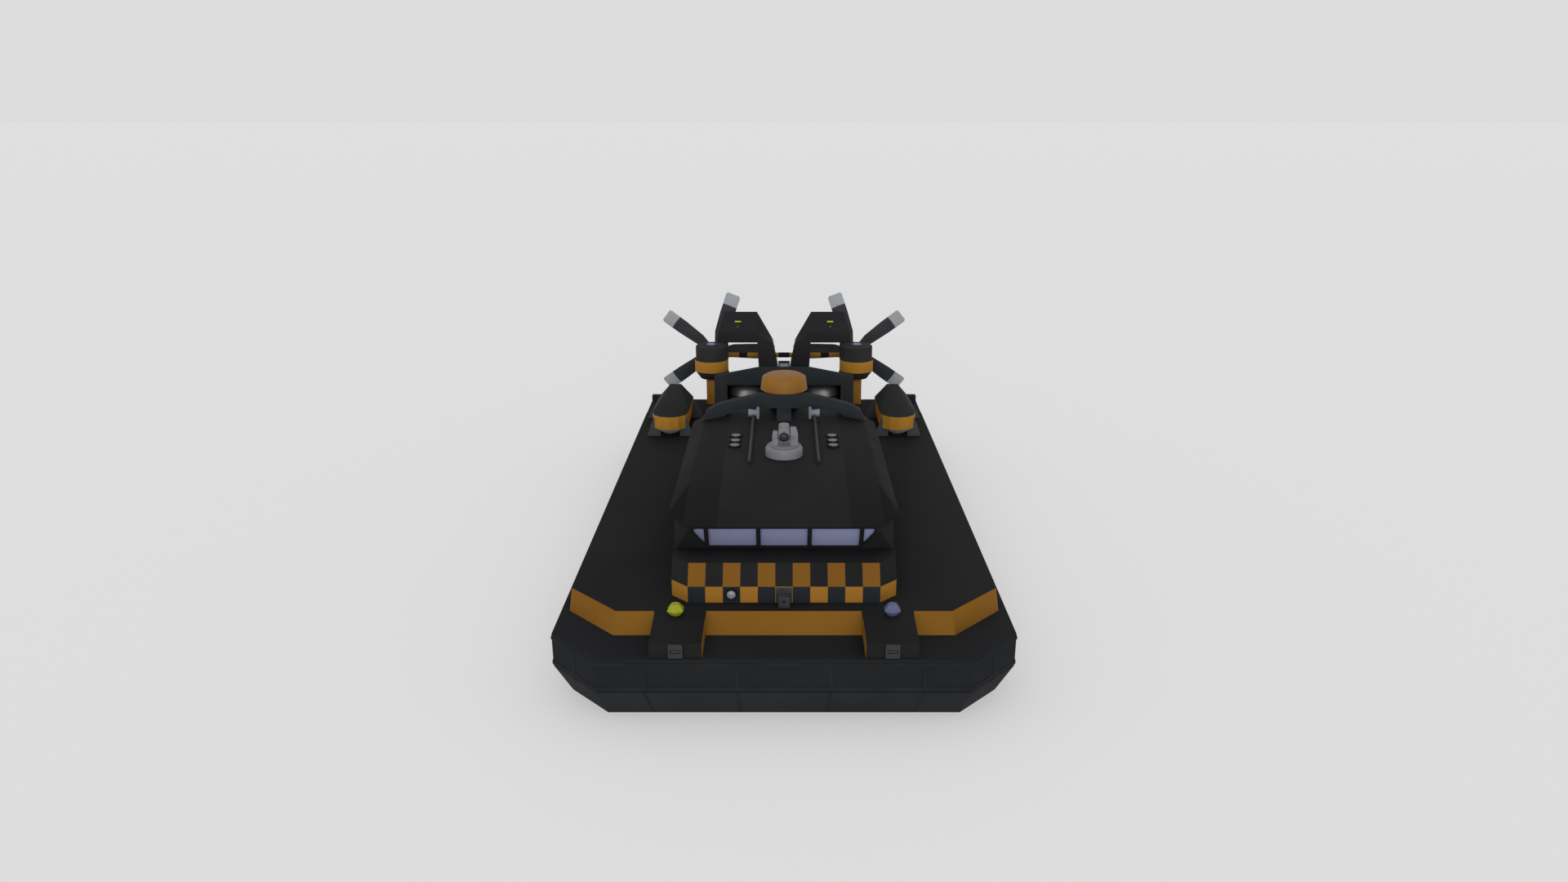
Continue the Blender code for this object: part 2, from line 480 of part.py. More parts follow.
# Lift-fan pods: a narrow foot that flares to an upright band, a hipped top that rises aft, a round front,
# and four three-cornered gussets.
POD_X = 2.961
POD_REAR_Y = 4.80
POD_HALF = 0.466
POD_NOSE_Y = 2.77
POD_FOOT_HALF = 0.164
POD_BAND_Z = (1.718, 2.06)
POD_RIDGE = (0.145, 4.74, 2.436)           # half-width, y, z
POD_FRONT_STEPS = 6
# Columns: y, inner and outer reach at the deck, reach at the top, z of the top
GUSSETS = [(3.00, 0.25, 0.61, 0.42, 2.00), (4.63, 0.30, 0.78, 0.48, 2.04)]
GUSSET_HALF = 0.02


def pod_level(side, half, z):
    """One level of a pod: a half circle in front and a square back."""
    angles = [pi * step / POD_FRONT_STEPS for step in range(POD_FRONT_STEPS + 1)]
    middle = POD_NOSE_Y + POD_HALF
    front = [(side * POD_X + half * cos(a), middle - half * sin(a), z) for a in angles]
    return front + [(side * POD_X - half, POD_REAR_Y, z), (side * POD_X + half, POD_REAR_Y, z)]


for name, side in (("pod_port", 1), ("pod_starboard", -1)):
    ridge_half, ridge_y, ridge_z = POD_RIDGE
    corners = pod_level(side, POD_FOOT_HALF, DECK_Z + GAP) + pod_level(side, POD_HALF, POD_BAND_Z[0])
    corners += pod_level(side, POD_HALF, POD_BAND_Z[1])
    corners += [(side * POD_X + end * ridge_half, ridge_y, ridge_z) for end in (1, -1)]
    pod = faceted(name, corners, DARK_PAINT)
    for y, inner, outer, top, top_z in GUSSETS:
        for end in (1, -1):
            outline = [(inner, DECK_Z + GAP), (outer, DECK_Z + GAP), (top, top_z), (inner, top_z - 0.1)]
            join(pod, faceted("gusset", [(side * POD_X + end * x, y + face, z) for x, z in outline
                                         for face in (-GUSSET_HALF, GUSSET_HALF)]))

# Pylons, nacelles with their shaft housings, and the cross tube between the housings.
PYLON_HALF = 0.15
NACELLE_FOOT_Z = 2.27
NACELLE = [(0.32, NACELLE_FOOT_Z), (0.475, 2.49), (0.475, 2.807), (0.445, 2.825), (0.445, 3.18),
           (0.42, 3.206)]
HOUSING_RADIUS = 0.10
HOUSING_START_Y = 6.30
CROSS_TUBE_Y = 7.20
CROSS_TUBE_Z = 2.66
CROSS_TUBE_RADIUS = 0.07
CROSS_TUBE_HALF = 1.99


def housing_shape(side, radius):
    """A shaft housing, or the room that a neighbour leaves for it."""
    ends = [(radius, HOUSING_START_Y), (radius, HUB_FRONT_Y)]
    return turned("housing", ends, (side * SHAFT_X, 0, SHAFT_Z), "Y", steps=16)


for name, side in (("port", 1), ("starboard", -1)):
    middle = side * SHAFT_X
    pylon_x = (middle - PYLON_HALF, middle + PYLON_HALF)
    pylon_y = (NACELLE_Y - PYLON_HALF, NACELLE_Y + PYLON_HALF)
    block("pylon_" + name, pylon_x, pylon_y, (DECK_Z + GAP, NACELLE_FOOT_Z - GAP), ORANGE_PAINT)
    nacelle = turned("nacelle_" + name, NACELLE, (middle, NACELLE_Y, 0), "Z", GREY_PAINT)
    join(nacelle, housing_shape(side, HOUSING_RADIUS))
tube_ends = [(CROSS_TUBE_RADIUS, -CROSS_TUBE_HALF), (CROSS_TUBE_RADIUS, CROSS_TUBE_HALF)]
tube = turned("cross_tube", tube_ends, (0, CROSS_TUBE_Y, CROSS_TUBE_Z), "X", ORANGE_PAINT, steps=16)
cut(tube, housing_shape(1, HOUSING_RADIUS + GAP), housing_shape(-1, HOUSING_RADIUS + GAP))

# Fin portals: each stands on the ledge at the middle, crosses over and comes down beside the shaft housing.
# Its top rises aft.
FIN_Y = (6.60, 7.10)
# The front's corners as x, z, from the foot of the outer leg over the top and down the inner leg to the ledge
FIN_FRONT = [(2.00, 2.58), (1.888, 3.478), (0.774, 3.478), (0.33, 3.17), (0.19, 2.48), (0.04, LEDGE_Z + GAP),
             (0.62, LEDGE_Z + GAP), (0.735, 2.48), (0.77, 3.166), (1.63, 3.166), (1.63, 2.58)]
FIN_REAR_TOP = [(1.737, 3.97), (0.785, 3.97)]     # the second and third corners at the rear
for name, side in (("fin_port", 1), ("fin_starboard", -1)):
    rear = FIN_FRONT[:1] + FIN_REAR_TOP + FIN_FRONT[3:]
    faces = [[(side * x, y, z) for x, z in corners] for y, corners in zip(FIN_Y, (FIN_FRONT, rear))]
    fin = lofted(name, faces, GREY_PAINT, twisted=True)
    cut(fin, housing_shape(side, HOUSING_RADIUS + GAP))

# Propellers: five twisted blades of even chord on a hub with a pointed spinner.
HUB = [(0.13, HUB_FRONT_Y + GAP), (0.21, 7.53), (0.21, 7.78), (0.17, 7.88), (0.09, 7.96), (0.02, SPINNER_Y)]
BLADE_COUNT = 5
FIRST_BLADE = {1: -19.0, -1: 19.0}         # degrees from straight up towards port
# Columns: radius from the shaft, chord, thickness, pitch in degrees from the disc's plane
BLADE = [(0.19, 0.20, 0.070, 40.0), (0.55, 0.40, 0.055, 24.0), (1.15, 0.44, 0.038, 15.0),
         (1.72, 0.44, 0.024, 12.0), (PROPELLER_RADIUS, 0.36, 0.016, 12.0)]
# Columns: share of the chord, share of the thickness, round one section
BLADE_SECTION = [(-0.5, 0.0), (-0.2, 0.5), (0.2, 0.45), (0.5, 0.0), (0.2, -0.45), (-0.2, -0.5)]


def blade(side, angle):
    """One blade, its chord turned by its pitch out of the disc's plane."""
    outward = Vector((sin(angle), 0, cos(angle)))
    across = Vector((cos(angle), 0, -sin(angle)))
    aft = Vector((0, 1, 0))
    sections = []
    for radius, chord, thickness, pitch in BLADE:
        lean = radians(pitch) * side
        along = cos(lean) * across + sin(lean) * aft
        through = cos(lean) * aft - sin(lean) * across
        start = Vector((side * SHAFT_X, PROPELLER_Y, SHAFT_Z)) + radius * outward
        sections.append([start + side * a * chord * along + b * thickness * through
                         for a, b in BLADE_SECTION])
    return lofted("blade", sections, twisted=True)


for name, side in (("propeller_port", 1), ("propeller_starboard", -1)):
    propeller = turned(name, HUB, (side * SHAFT_X, 0, SHAFT_Z), "Y", BLADE_PAINT)
    angles = [radians(FIRST_BLADE[side]) + 2 * pi * step / BLADE_COUNT for step in range(BLADE_COUNT)]
    join(propeller, *[blade(side, angle) for angle in angles])
    hang_on(propeller, (side * SHAFT_X, PROPELLER_Y, SHAFT_Z))

# Bow fittings: six-sided nav lamps on the blocks, a round lamp and the tow fitting on the nose, and fairleads
# on the blocks.
LAMP_X = 1.851
LAMP_Y = -7.06
LAMP = [(0.08, DECK_Z + GAP), (0.16, 1.608), (0.08, 1.715)]
NOSE_Y = -6.589 - GAP
BOW_LAMP = [(0.115, NOSE_Y), (0.115, -6.62), (0.075, -6.65)]
TOW_PLATE = ((-0.143, 0.143), (-6.62, NOSE_Y), (DECK_Z + GAP, 1.79))
TOW_POST = ((-0.10, 0.10), (-6.80, -6.60), (DECK_Z + GAP, 1.70))
FAIRLEAD_X = 1.779
FAIRLEAD_HALF = 0.12
FAIRLEAD_Y = (BOW_Y, BLOCK_FRONT_Y - GAP)
FAIRLEAD_Z = (1.187, 1.432)
GROOVE = (0.085, -7.975, (1.275, 1.345))   # half-width, y of its bottom, z
for name, side, lens in (("nav_lamp_port", 1, BLUE_LENS), ("nav_lamp_starboard", -1, GREEN_LENS)):
    turned(name, LAMP, (side * LAMP_X, LAMP_Y, 0), "Z", lens, steps=6)
turned("bow_lamp", BOW_LAMP, (-0.921, 0, 1.663), "Y", LIGHT_GREY, steps=20)
join(block("tow_fitting", *TOW_PLATE, GREY_PAINT), block("post", *TOW_POST))
for name, side in (("fairlead_port", 1), ("fairlead_starboard", -1)):
    middle = side * FAIRLEAD_X
    half, bottom, groove_z = GROOVE
    fairlead_x = (middle - FAIRLEAD_HALF, middle + FAIRLEAD_HALF)
    fairlead = block(name, fairlead_x, FAIRLEAD_Y, FAIRLEAD_Z, GREY_PAINT)
    cut(fairlead, block("groove", (middle - half, middle + half), (BOW_Y - 0.1, bottom), groove_z))
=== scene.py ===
"""A twin-propeller utility hovercraft, dressed piece by piece over its frame. Metres: bow -Y, port +X."""
import json
from math import cos, pi, radians, sin

import bmesh
import bpy
import numpy as np
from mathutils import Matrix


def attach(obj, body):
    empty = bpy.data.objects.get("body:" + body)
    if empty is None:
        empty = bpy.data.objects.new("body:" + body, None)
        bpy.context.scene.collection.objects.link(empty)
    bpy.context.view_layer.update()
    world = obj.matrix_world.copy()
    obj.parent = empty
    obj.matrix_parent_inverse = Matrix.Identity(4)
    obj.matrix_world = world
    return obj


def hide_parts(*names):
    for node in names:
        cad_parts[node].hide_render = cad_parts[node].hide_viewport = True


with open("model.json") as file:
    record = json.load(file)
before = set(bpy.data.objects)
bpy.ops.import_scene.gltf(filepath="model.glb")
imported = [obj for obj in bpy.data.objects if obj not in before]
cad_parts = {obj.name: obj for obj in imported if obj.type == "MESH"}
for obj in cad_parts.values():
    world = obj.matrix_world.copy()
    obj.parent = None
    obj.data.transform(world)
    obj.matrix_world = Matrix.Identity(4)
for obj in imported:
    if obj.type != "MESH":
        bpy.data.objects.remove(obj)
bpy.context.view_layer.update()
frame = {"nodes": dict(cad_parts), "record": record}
bodies = frame["record"]["behaviour"]["bodies"]
body_of_node = {node: body for body, members in bodies.items() for node in members}

# Studio: a pale matt floor, lit half from below like a light table, that runs to a pale sky of the same tone,
# with one broad low sun from behind the camera. The camera stands 10 m up and 23 m ahead of the craft's
# middle, and looks 18 degrees down.
CAMERA_PLACE = (0.0, -23.447, 9.959)
CAMERA_DOWN = 18.02
CAMERA_LENS_MM = 24.44
FLOOR_HALF = 400.0
FLOOR_DROP = 0.002
FLOOR_COLOUR = "#b0b0b0"
FLOOR_GLOW = 0.36
SKY_COLOUR = "#dddddd"
SUN_STRENGTH = 2.0
SUN_HEIGHT = 9.0
SUN_SPREAD = 50.0
# The corners of a square of side 2 about its middle, in order round it
ROUND_SQUARE = ((-1, -1), (1, -1), (1, 1), (-1, 1))


def linear(colour):
    """An sRGB hex colour as linear red, green and blue, with full alpha."""
    coded = np.array([int(colour[start:start + 2], 16) for start in (1, 3, 5)]) / 255
    light = np.where(coded <= 0.04045, coded / 12.92, ((coded + 0.055) / 1.055) ** 2.4)
    return (*(float(value) for value in light), 1.0)


def add(tree, kind, inputs=None, **settings):
    """Adds a node. settings are its own options, and inputs gives its sockets a value or a link."""
    node = tree.nodes.new(kind)
    for name, value in settings.items():
        setattr(node, name, value)
    for socket, value in (inputs or {}).items():
        if isinstance(value, bpy.types.NodeSocket):
            tree.links.new(value, node.inputs[socket])
        else:
            node.inputs[socket].default_value = value
    return node


def blank_material(name):
    """A new material's node tree, its Principled shader, and its Object coordinates as one and as x, y, z."""
    made = bpy.data.materials.new(name)
    made.use_nodes = True
    tree = made.node_tree
    place = add(tree, "ShaderNodeTexCoord").outputs["Object"]
    parts = add(tree, "ShaderNodeSeparateXYZ", {0: place}).outputs
    return made, tree, tree.nodes["Principled BSDF"], place, parts


world = bpy.data.worlds.new("pale_sky")
world.use_nodes = True
world.node_tree.nodes["Background"].inputs["Color"].default_value = linear(SKY_COLOUR)
bpy.context.scene.world = world
bpy.context.scene.view_settings.view_transform = "Standard"

floor_mesh = bpy.data.meshes.new("floor")
floor_corners = [(x * FLOOR_HALF, y * FLOOR_HALF, -FLOOR_DROP) for x, y in ROUND_SQUARE]
floor_mesh.from_pydata(floor_corners, [], [(0, 1, 2, 3)])
studio_floor = bpy.data.objects.new("floor", floor_mesh)
bpy.context.scene.collection.objects.link(studio_floor)
floor_material, _, floor_shader, _, _ = blank_material("matt_floor_paint")
floor_shader.inputs["Base Color"].default_value = linear(FLOOR_COLOUR)
floor_shader.inputs["Emission Color"].default_value = (1.0, 1.0, 1.0, 1.0)
floor_shader.inputs["Emission Strength"].default_value = FLOOR_GLOW
floor_shader.inputs["Roughness"].default_value = 0.9
floor_shader.inputs["Specular IOR Level"].default_value = 0.1
floor_mesh.materials.append(floor_material)

sun_data = bpy.data.lights.new("sun", "SUN")
sun_data.energy = SUN_STRENGTH
sun_data.angle = radians(SUN_SPREAD)
sun = bpy.data.objects.new("sun", sun_data)
sun.rotation_euler = (radians(90 - SUN_HEIGHT), 0, 0)
bpy.context.scene.collection.objects.link(sun)

camera_data = bpy.data.cameras.new("camera")
camera_data.sensor_width = 36.0
camera_data.lens = CAMERA_LENS_MM
camera_data.clip_end = 2000.0
camera = bpy.data.objects.new("camera", camera_data)
camera.location = CAMERA_PLACE
camera.rotation_euler = (radians(90 - CAMERA_DOWN), 0, 0)
bpy.context.scene.collection.objects.link(camera)
bpy.context.scene.camera = camera

# Hull and skirt: rubber-coated fabric, matt and nearly black, drawn smooth over the buoyancy box. The seams
# where its panels are glued stand up as broad flat strips, and a flat strip clamps it just over the crease.
RUBBER_DARK, RUBBER_PALE = "#1b1c1e", "#202123"
# The skirt's two tones are lighter than the hull's: painted light on its down-turned faces.
SKIRT_LIT_DARK, SKIRT_LIT_PALE = "#212225", "#27282b"
TAPE_DARK, TAPE_PALE = "#191a1c", "#212224"
SEAM_WIDTH = 0.07
SEAM_PROUD = 0.008
CREASE_Z = 0.56
HULL_TOP_Z = 1.173
SKIRT_TAPER = 0.29
SEAM_SPACING = 1.55
# Each level tape's name, height and width
LEVEL_TAPES = (("clamp_strip", CREASE_Z + 0.06, 0.075), ("edge_tape", HULL_TOP_Z - 0.09, 0.05))


def mixed(tree, share, first, second):
    """The socket of a colour that goes from the first to the second as share goes from 0 to 1."""
    node = add(tree, "ShaderNodeMix", {0: share, 6: first, 7: second}, data_type="RGBA")
    return node.outputs[2]


def within(tree, value, low, high):
    """A socket that is 1 where value lies between low and high, and 0 elsewhere."""
    above = add(tree, "ShaderNodeMath", {0: value, 1: low}, operation="GREATER_THAN").outputs[0]
    below = add(tree, "ShaderNodeMath", {0: value, 1: high}, operation="LESS_THAN").outputs[0]
    return add(tree, "ShaderNodeMath", {0: above, 1: below}, operation="MULTIPLY").outputs[0]


def weathered(tree, shader, place, colour, fade, patch_m, grain_mm, bump_mm, roughness, shine):
    """Gives a coat its faded patches, its uneven gloss and its grain.

    The patches are patch_m across and go from colour to fade; the grain is grain_mm across and bump_mm high.
    """
    patches = add(tree, "ShaderNodeTexNoise", {"Vector": place, "Scale": 1 / patch_m,
                                               "Detail": 4.0}).outputs[0]
    share = add(tree, "ShaderNodeMapRange", {"Value": patches, "From Min": 0.35, "From Max": 0.7}).outputs[0]
    shader_colour = mixed(tree, share, colour, fade)
    grain = add(tree, "ShaderNodeTexNoise", {"Vector": place, "Scale": 1000 / grain_mm,
                                             "Detail": 2.0}).outputs[0]
    bump = add(tree, "ShaderNodeBump", {"Height": grain, "Distance": bump_mm / 1000, "Strength": 0.6})
    gloss = add(tree, "ShaderNodeMapRange", {"Value": patches, "To Min": roughness - 0.06,
                                             "To Max": roughness + 0.08}).outputs[0]
    tree.links.new(shader_colour, shader.inputs["Base Color"])
    tree.links.new(gloss, shader.inputs["Roughness"])
    tree.links.new(bump.outputs[0], shader.inputs["Normal"])
    shader.inputs["Specular IOR Level"].default_value = shine
    shader.inputs["IOR"].default_value = 1.5
    return patches


# Neoprene-coated nylon: a calendered matt sheet whose fine emboss, drawn 12 mm coarse so that it shows,
# scatters what light it takes.
coated_fabric, tree, shader, place, _ = blank_material("neoprene_coated_nylon")
weathered(tree, shader, place, linear(RUBBER_DARK), linear(RUBBER_PALE),
          patch_m=1.8, grain_mm=12.0, bump_mm=1.5, roughness=0.8, shine=0.07)

# Neoprene-coated nylon of the skirt: the same sheet, painted paler than the hull's as painted light on its
# faces that turn down to the floor.
skirt_fabric, tree, shader, place, _ = blank_material("neoprene_coated_nylon_skirt_lit")
weathered(tree, shader, place, linear(SKIRT_LIT_DARK), linear(SKIRT_LIT_PALE),
          patch_m=1.2, grain_mm=12.0, bump_mm=1.5, roughness=0.82, shine=0.07)

# Neoprene seam tape: the same sheet, rubbed a little paler where it stands proud.
seam_tape, tree, shader, place, _ = blank_material("neoprene_seam_tape")
weathered(tree, shader, place, linear(TAPE_DARK), linear(TAPE_PALE),
          patch_m=0.6, grain_mm=12.0, bump_mm=1.0, roughness=0.74, shine=0.09)


def softened(node, finish, width):
    """A copy of a CAD node, its triangles merged, its flat faces rejoined and its edges rounded to width."""
    name = node + "_shell"
    shape = bmesh.new()
    shape.from_mesh(frame["nodes"][node].data)
    bmesh.ops.remove_doubles(shape, verts=shape.verts, dist=0.0002)
    bmesh.ops.dissolve_limit(shape, angle_limit=radians(0.03), verts=shape.verts, edges=shape.edges)
    mesh = bpy.data.meshes.new(name)
    shape.to_mesh(mesh)
    shape.free()
    mesh.materials.clear()
    mesh.materials.append(finish)
    mesh.shade_smooth()
    piece = bpy.data.objects.new(name, mesh)
    bpy.context.scene.collection.objects.link(piece)
    rounding = piece.modifiers.new("rounding", "BEVEL")
    rounding.width = width
    rounding.segments = 2
    rounding.limit_method = "ANGLE"
    rounding.angle_limit = radians(20)
    rounding.harden_normals = True
    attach(piece, body_of_node[node])
    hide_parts(node)


def skin(name, grid, finish, body, looped=False, capped=True):
    """A mesh from a grid of points, rows by columns by 3, each row a closed ring.

    looped joins the last row to the first, and otherwise capped closes both end rows.
    """
    rows, columns = grid.shape[:2]
    index = np.arange(rows * columns).reshape(rows, columns)
    index = np.concatenate([index, index[:, :1]], axis=1)
    if looped:
        index = np.concatenate([index, index[:1]], axis=0)
    quads = np.stack([index[:-1, :-1], index[:-1, 1:], index[1:, 1:], index[1:, :-1]], axis=-1).reshape(-1, 4)
    faces = quads.tolist()
    if capped and not looped:
        faces += [list(range(columns)), list(range((rows - 1) * columns, rows * columns))]
    mesh = bpy.data.meshes.new(name)
    mesh.from_pydata(grid.reshape(-1, 3).tolist(), [], faces)
    shape = bmesh.new()
    shape.from_mesh(mesh)
    bmesh.ops.remove_doubles(shape, verts=shape.verts, dist=0.00005)
    bmesh.ops.recalc_face_normals(shape, faces=shape.faces)
    shape.to_mesh(mesh)
    shape.free()
    mesh.materials.append(finish)
    mesh.shade_smooth()
    mesh.set_sharp_from_angle(angle=radians(35))
    piece = bpy.data.objects.new(name, mesh)
    bpy.context.scene.collection.objects.link(piece)
    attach(piece, body)
    return piece


def strip(name, path, outward, across, proud, finish, body="root", closed=False):
    """A flat bar along a path: half of across to each side, sunk as far as it stands proud of the path.

    outward is the direction it stands up in, for the whole path or for each point. The side direction at a
    corner is (s + t) / (1 + s . t), with s and t those of the runs that meet there, so the corner is mitred.
    """
    path = np.asarray(path, float)
    outward = np.broadcast_to(np.asarray(outward, float), path.shape)
    leaving = np.roll(path, -1, axis=0) - path
    if not closed:
        leaving[-1] = leaving[-2]
    leaving /= np.linalg.norm(leaving, axis=1, keepdims=True)
    arriving = np.roll(leaving, 1, axis=0)
    if not closed:
        arriving[0] = leaving[0]
    sides = np.cross(arriving, outward), np.cross(leaving, outward)
    aside = (sides[0] + sides[1]) / (1 + (sides[0] * sides[1]).sum(axis=1, keepdims=True))
    corners = [(-0.5, -1.0), (-0.5, 0.6), (-0.42, 1.0), (0.42, 1.0), (0.5, 0.6), (0.5, -1.0)]
    grid = np.stack([path + a * across * aside + b * proud * outward for a, b in corners], axis=1)
    return skin(name, grid, finish, body, looped=closed)


def joined(name, pieces):
    """Joins like pieces into one object."""
    first = pieces[0]
    with bpy.context.temp_override(active_object=first, selected_editable_objects=pieces):
        bpy.ops.object.join()
    first.name = name
    return first


HALF_BEAM = 4.0
BOW_Y = -8.0
STERN_Y = 7.2
HULL_CHAMFER = 0.9
SKIRT_NODES = ("skirt_bow", "skirt_port", "skirt_stern", "skirt_starboard")
softened("hull", coated_fabric, 0.03)
for node in SKIRT_NODES:
    softened(node, skirt_fabric, 0.012)


def outline(inset):
    """The hull's eight corners, from the bow's starboard end to port and round, with each side inset."""
    reach = HALF_BEAM - inset
    short = reach - HULL_CHAMFER + inset * (2 ** 0.5 - 1)
    front, back = BOW_Y + inset, STERN_Y - inset
    cut_in = reach - short
    port = [(short, front), (reach, front + cut_in), (reach, back - cut_in), (short, back)]
    return np.array([(-port[0][0], front)] + port + [(-x, y) for x, y in port[:0:-1]])


def level_ring(z):
    """The hull's outline at height z, and at each corner the direction out of it, as long as its mitre."""
    corners = outline(0.0)
    edges = np.roll(corners, -1, axis=0) - corners
    normals = np.stack([edges[:, 1], -edges[:, 0]], axis=1) / np.linalg.norm(edges, axis=1, keepdims=True)
    around = normals + np.roll(normals, 1, axis=0)
    out = 2 * around / (around ** 2).sum(axis=1, keepdims=True)
    return np.column_stack([corners, np.full(len(out), z)]), np.column_stack([out, np.zeros(len(out))])


# The clamp strip just over the crease, and the reinforcing tape under the hull's top edge.
for name, z, width in LEVEL_TAPES:
    points, out = level_ring(z)
    strip(name, points, out, width, SEAM_PROUD, seam_tape, closed=True)

# Upright seams on the hull's sides and, in line with them, on the skirt that draws in to the floor.
seams = []
corners, foot_corners = outline(0.0), outline(SKIRT_TAPER)
for side in range(len(corners)):
    following = (side + 1) % len(corners)
    start, end = corners[side], corners[following]
    length = np.linalg.norm(end - start)
    normal = np.array([end[1] - start[1], start[0] - end[0], 0]) / length
    count = max(1, round(length / SEAM_SPACING))
    for share in (np.arange(count) + 0.5) / count:
        top = start + share * (end - start)
        foot_start, foot_end = foot_corners[side], foot_corners[following]
        foot = foot_start + share * (foot_end - foot_start)
        on_hull = [(*top, CREASE_Z + 0.10), (*top, HULL_TOP_Z - 0.12)]
        seams.append(strip("seam", on_hull, normal, SEAM_WIDTH, SEAM_PROUD, seam_tape))
        slope = np.array([*(normal[:2] * CREASE_Z), -SKIRT_TAPER])
        slope /= np.linalg.norm(slope)
        on_skirt = [(*foot, 0.012), (*top, CREASE_Z - 0.012)]
        seams.append(strip("seam", on_skirt, slope, SEAM_WIDTH * 0.7, SEAM_PROUD * 0.7, seam_tape))
joined("skirt_seams", seams)

# Upper deck: welded aluminium plate under a dark coat with a sprayed non-slip grit. The leaning wall round
# the bow, with the inner sides of the blocks, is painted orange.
PAINT_DARK, PAINT_DARK_FADED = "#1b1b1c", "#202021"
ORANGES = ("#734e18", "#7c561d")
BLOCK_X = (1.34, 2.22)
DECK_TOP_Z = 1.498
STRIPE_END_Y = -5.985


def striped(tree, shader, mask, patches, oranges):
    """Paints orange over the coat where mask is 1. oranges holds its fresh tone and its faded one."""
    coat = shader.inputs["Base Color"].links[0].from_socket
    stripe = mixed(tree, patches, linear(oranges[0]), linear(oranges[1]))
    tree.links.new(mixed(tree, mask, coat, stripe), shader.inputs["Base Color"])


def both(tree, first, second, operation="MULTIPLY"):
    """A socket that joins two masks: where both hold, or with MAXIMUM where either does."""
    return add(tree, "ShaderNodeMath", {0: first, 1: second}, operation=operation).outputs[0]


# Two-pack polyurethane over aluminium, sprayed: satin, with grit of 2 mm drawn as 15 mm so that it shows.
deck_paint, tree, shader, place, (x, y, z) = blank_material("polyurethane_deck_coat")
dark_coat, faded_coat = linear(PAINT_DARK), linear(PAINT_DARK_FADED)
patches = weathered(tree, shader, place, dark_coat, faded_coat,
                    patch_m=1.2, grain_mm=15.0, bump_mm=1.2, roughness=0.75, shine=0.06)
across = add(tree, "ShaderNodeMath", {0: x}, operation="ABSOLUTE").outputs[0]
between_blocks = add(tree, "ShaderNodeMath", {0: across, 1: BLOCK_X[0] + 0.004},
                     operation="LESS_THAN").outputs[0]
outside_blocks = within(tree, across, BLOCK_X[1] + 0.02, HALF_BEAM)
wall_height = within(tree, z, HULL_TOP_Z + 0.002, DECK_TOP_Z - 0.004)
leaning = both(tree, wall_height, within(tree, y, BOW_Y, STRIPE_END_Y))
beside_blocks = both(tree, between_blocks, outside_blocks, "MAXIMUM")
striped(tree, shader, both(tree, leaning, beside_blocks), patches, ORANGES)
softened("upper_deck", deck_paint, 0.010)

# Cabin: aluminium plate, painted dark, with an orange and dark chequer round the nose: eleven columns on the
# leaning upper band, and on the upright lower band the other ones, which go on round the corners.
SQUARE = 0.306
COLUMNS = 11
NOSE_KNEE_Z = 1.803
SILL_Z = 2.13
NOSE_BACK_Y = -6.293
# Painted light: below the nose's knee the cabin's upright faces take a lighter blue-grey than the coat above,
# a lit copy of it.
PAINT_UPRIGHT_LIT = "#212428"
# Painted light: the lower row of squares is a lighter orange than the upper row, a lit copy of the same
# paint.
UPPER_ORANGES = ("#6e4a17", "#76501b")
LOWER_ORANGES_LIT = ("#8e6222", "#976a27")
# The same two-pack coat without grit: its orange peel, 2 mm across, is drawn as 6 mm so that it shows.
cabin_paint, tree, shader, place, (x, y, z) = blank_material("polyurethane_cabin_coat")
patches = weathered(tree, shader, place, dark_coat, faded_coat,
                    patch_m=1.0, grain_mm=6.0, bump_mm=0.3, roughness=0.7, shine=0.07)
column = add(tree, "ShaderNodeMath", {0: x, 1: 1 / SQUARE, 2: COLUMNS / 2},
             operation="MULTIPLY_ADD").outputs[0]
column = add(tree, "ShaderNodeMath", {0: column}, operation="FLOOR").outputs[0]
lower = add(tree, "ShaderNodeMath", {0: z, 1: NOSE_KNEE_Z}, operation="LESS_THAN").outputs[0]
square = both(tree, column, lower, "ADD")
even = add(tree, "ShaderNodeMath", {0: square, 1: 2.0}, operation="FLOORED_MODULO").outputs[0]
even = add(tree, "ShaderNodeMath", {0: even, 1: 0.5}, operation="LESS_THAN").outputs[0]
band = both(tree, within(tree, z, DECK_TOP_Z, SILL_Z - 0.004), within(tree, y, BOW_Y, NOSE_BACK_Y))
upper = add(tree, "ShaderNodeMath", {0: 1.0, 1: lower}, operation="SUBTRACT").outputs[0]
squares = both(tree, even, band)
coat = shader.inputs["Base Color"].links[0].from_socket
# Painted light: the upright faces below the knee in the lit blue-grey.
tree.links.new(mixed(tree, lower, coat, linear(PAINT_UPRIGHT_LIT)), shader.inputs["Base Color"])
striped(tree, shader, both(tree, squares, upper), patches, UPPER_ORANGES)
# Painted light: the upright band's squares in the lighter, lit orange.
striped(tree, shader, both(tree, squares, lower), patches, LOWER_ORANGES_LIT)
softened("cabin_body", cabin_paint, 0.008)
softened("cab_frame", cabin_paint, 0.005)

# The roof's coat is the cabin's, and its sloping bevels are painted a shade darker, as painted shade where
# the light falls on them less. The steep outer ones along the eaves have the darkest painted shade, and the
# least shine.
ROOF_FLAT_HALF = 1.19
EAVES_HALF = 1.795
ROOF_SHINE = 0.07
EAVES_SHINE = 0.047
BEVEL_PAINTED_SHADE = "#161617"
EAVES_PAINTED_SHADE = "#131314"
roof_paint, tree, shader, place, (x, _, _) = blank_material("polyurethane_roof_coat")
weathered(tree, shader, place, dark_coat, faded_coat,
          patch_m=1.0, grain_mm=6.0, bump_mm=0.3, roughness=0.7, shine=ROOF_SHINE)
across = add(tree, "ShaderNodeMath", {0: x}, operation="ABSOLUTE").outputs[0]
bevels = within(tree, across, ROOF_FLAT_HALF, HALF_BEAM)
coat = shader.inputs["Base Color"].links[0].from_socket
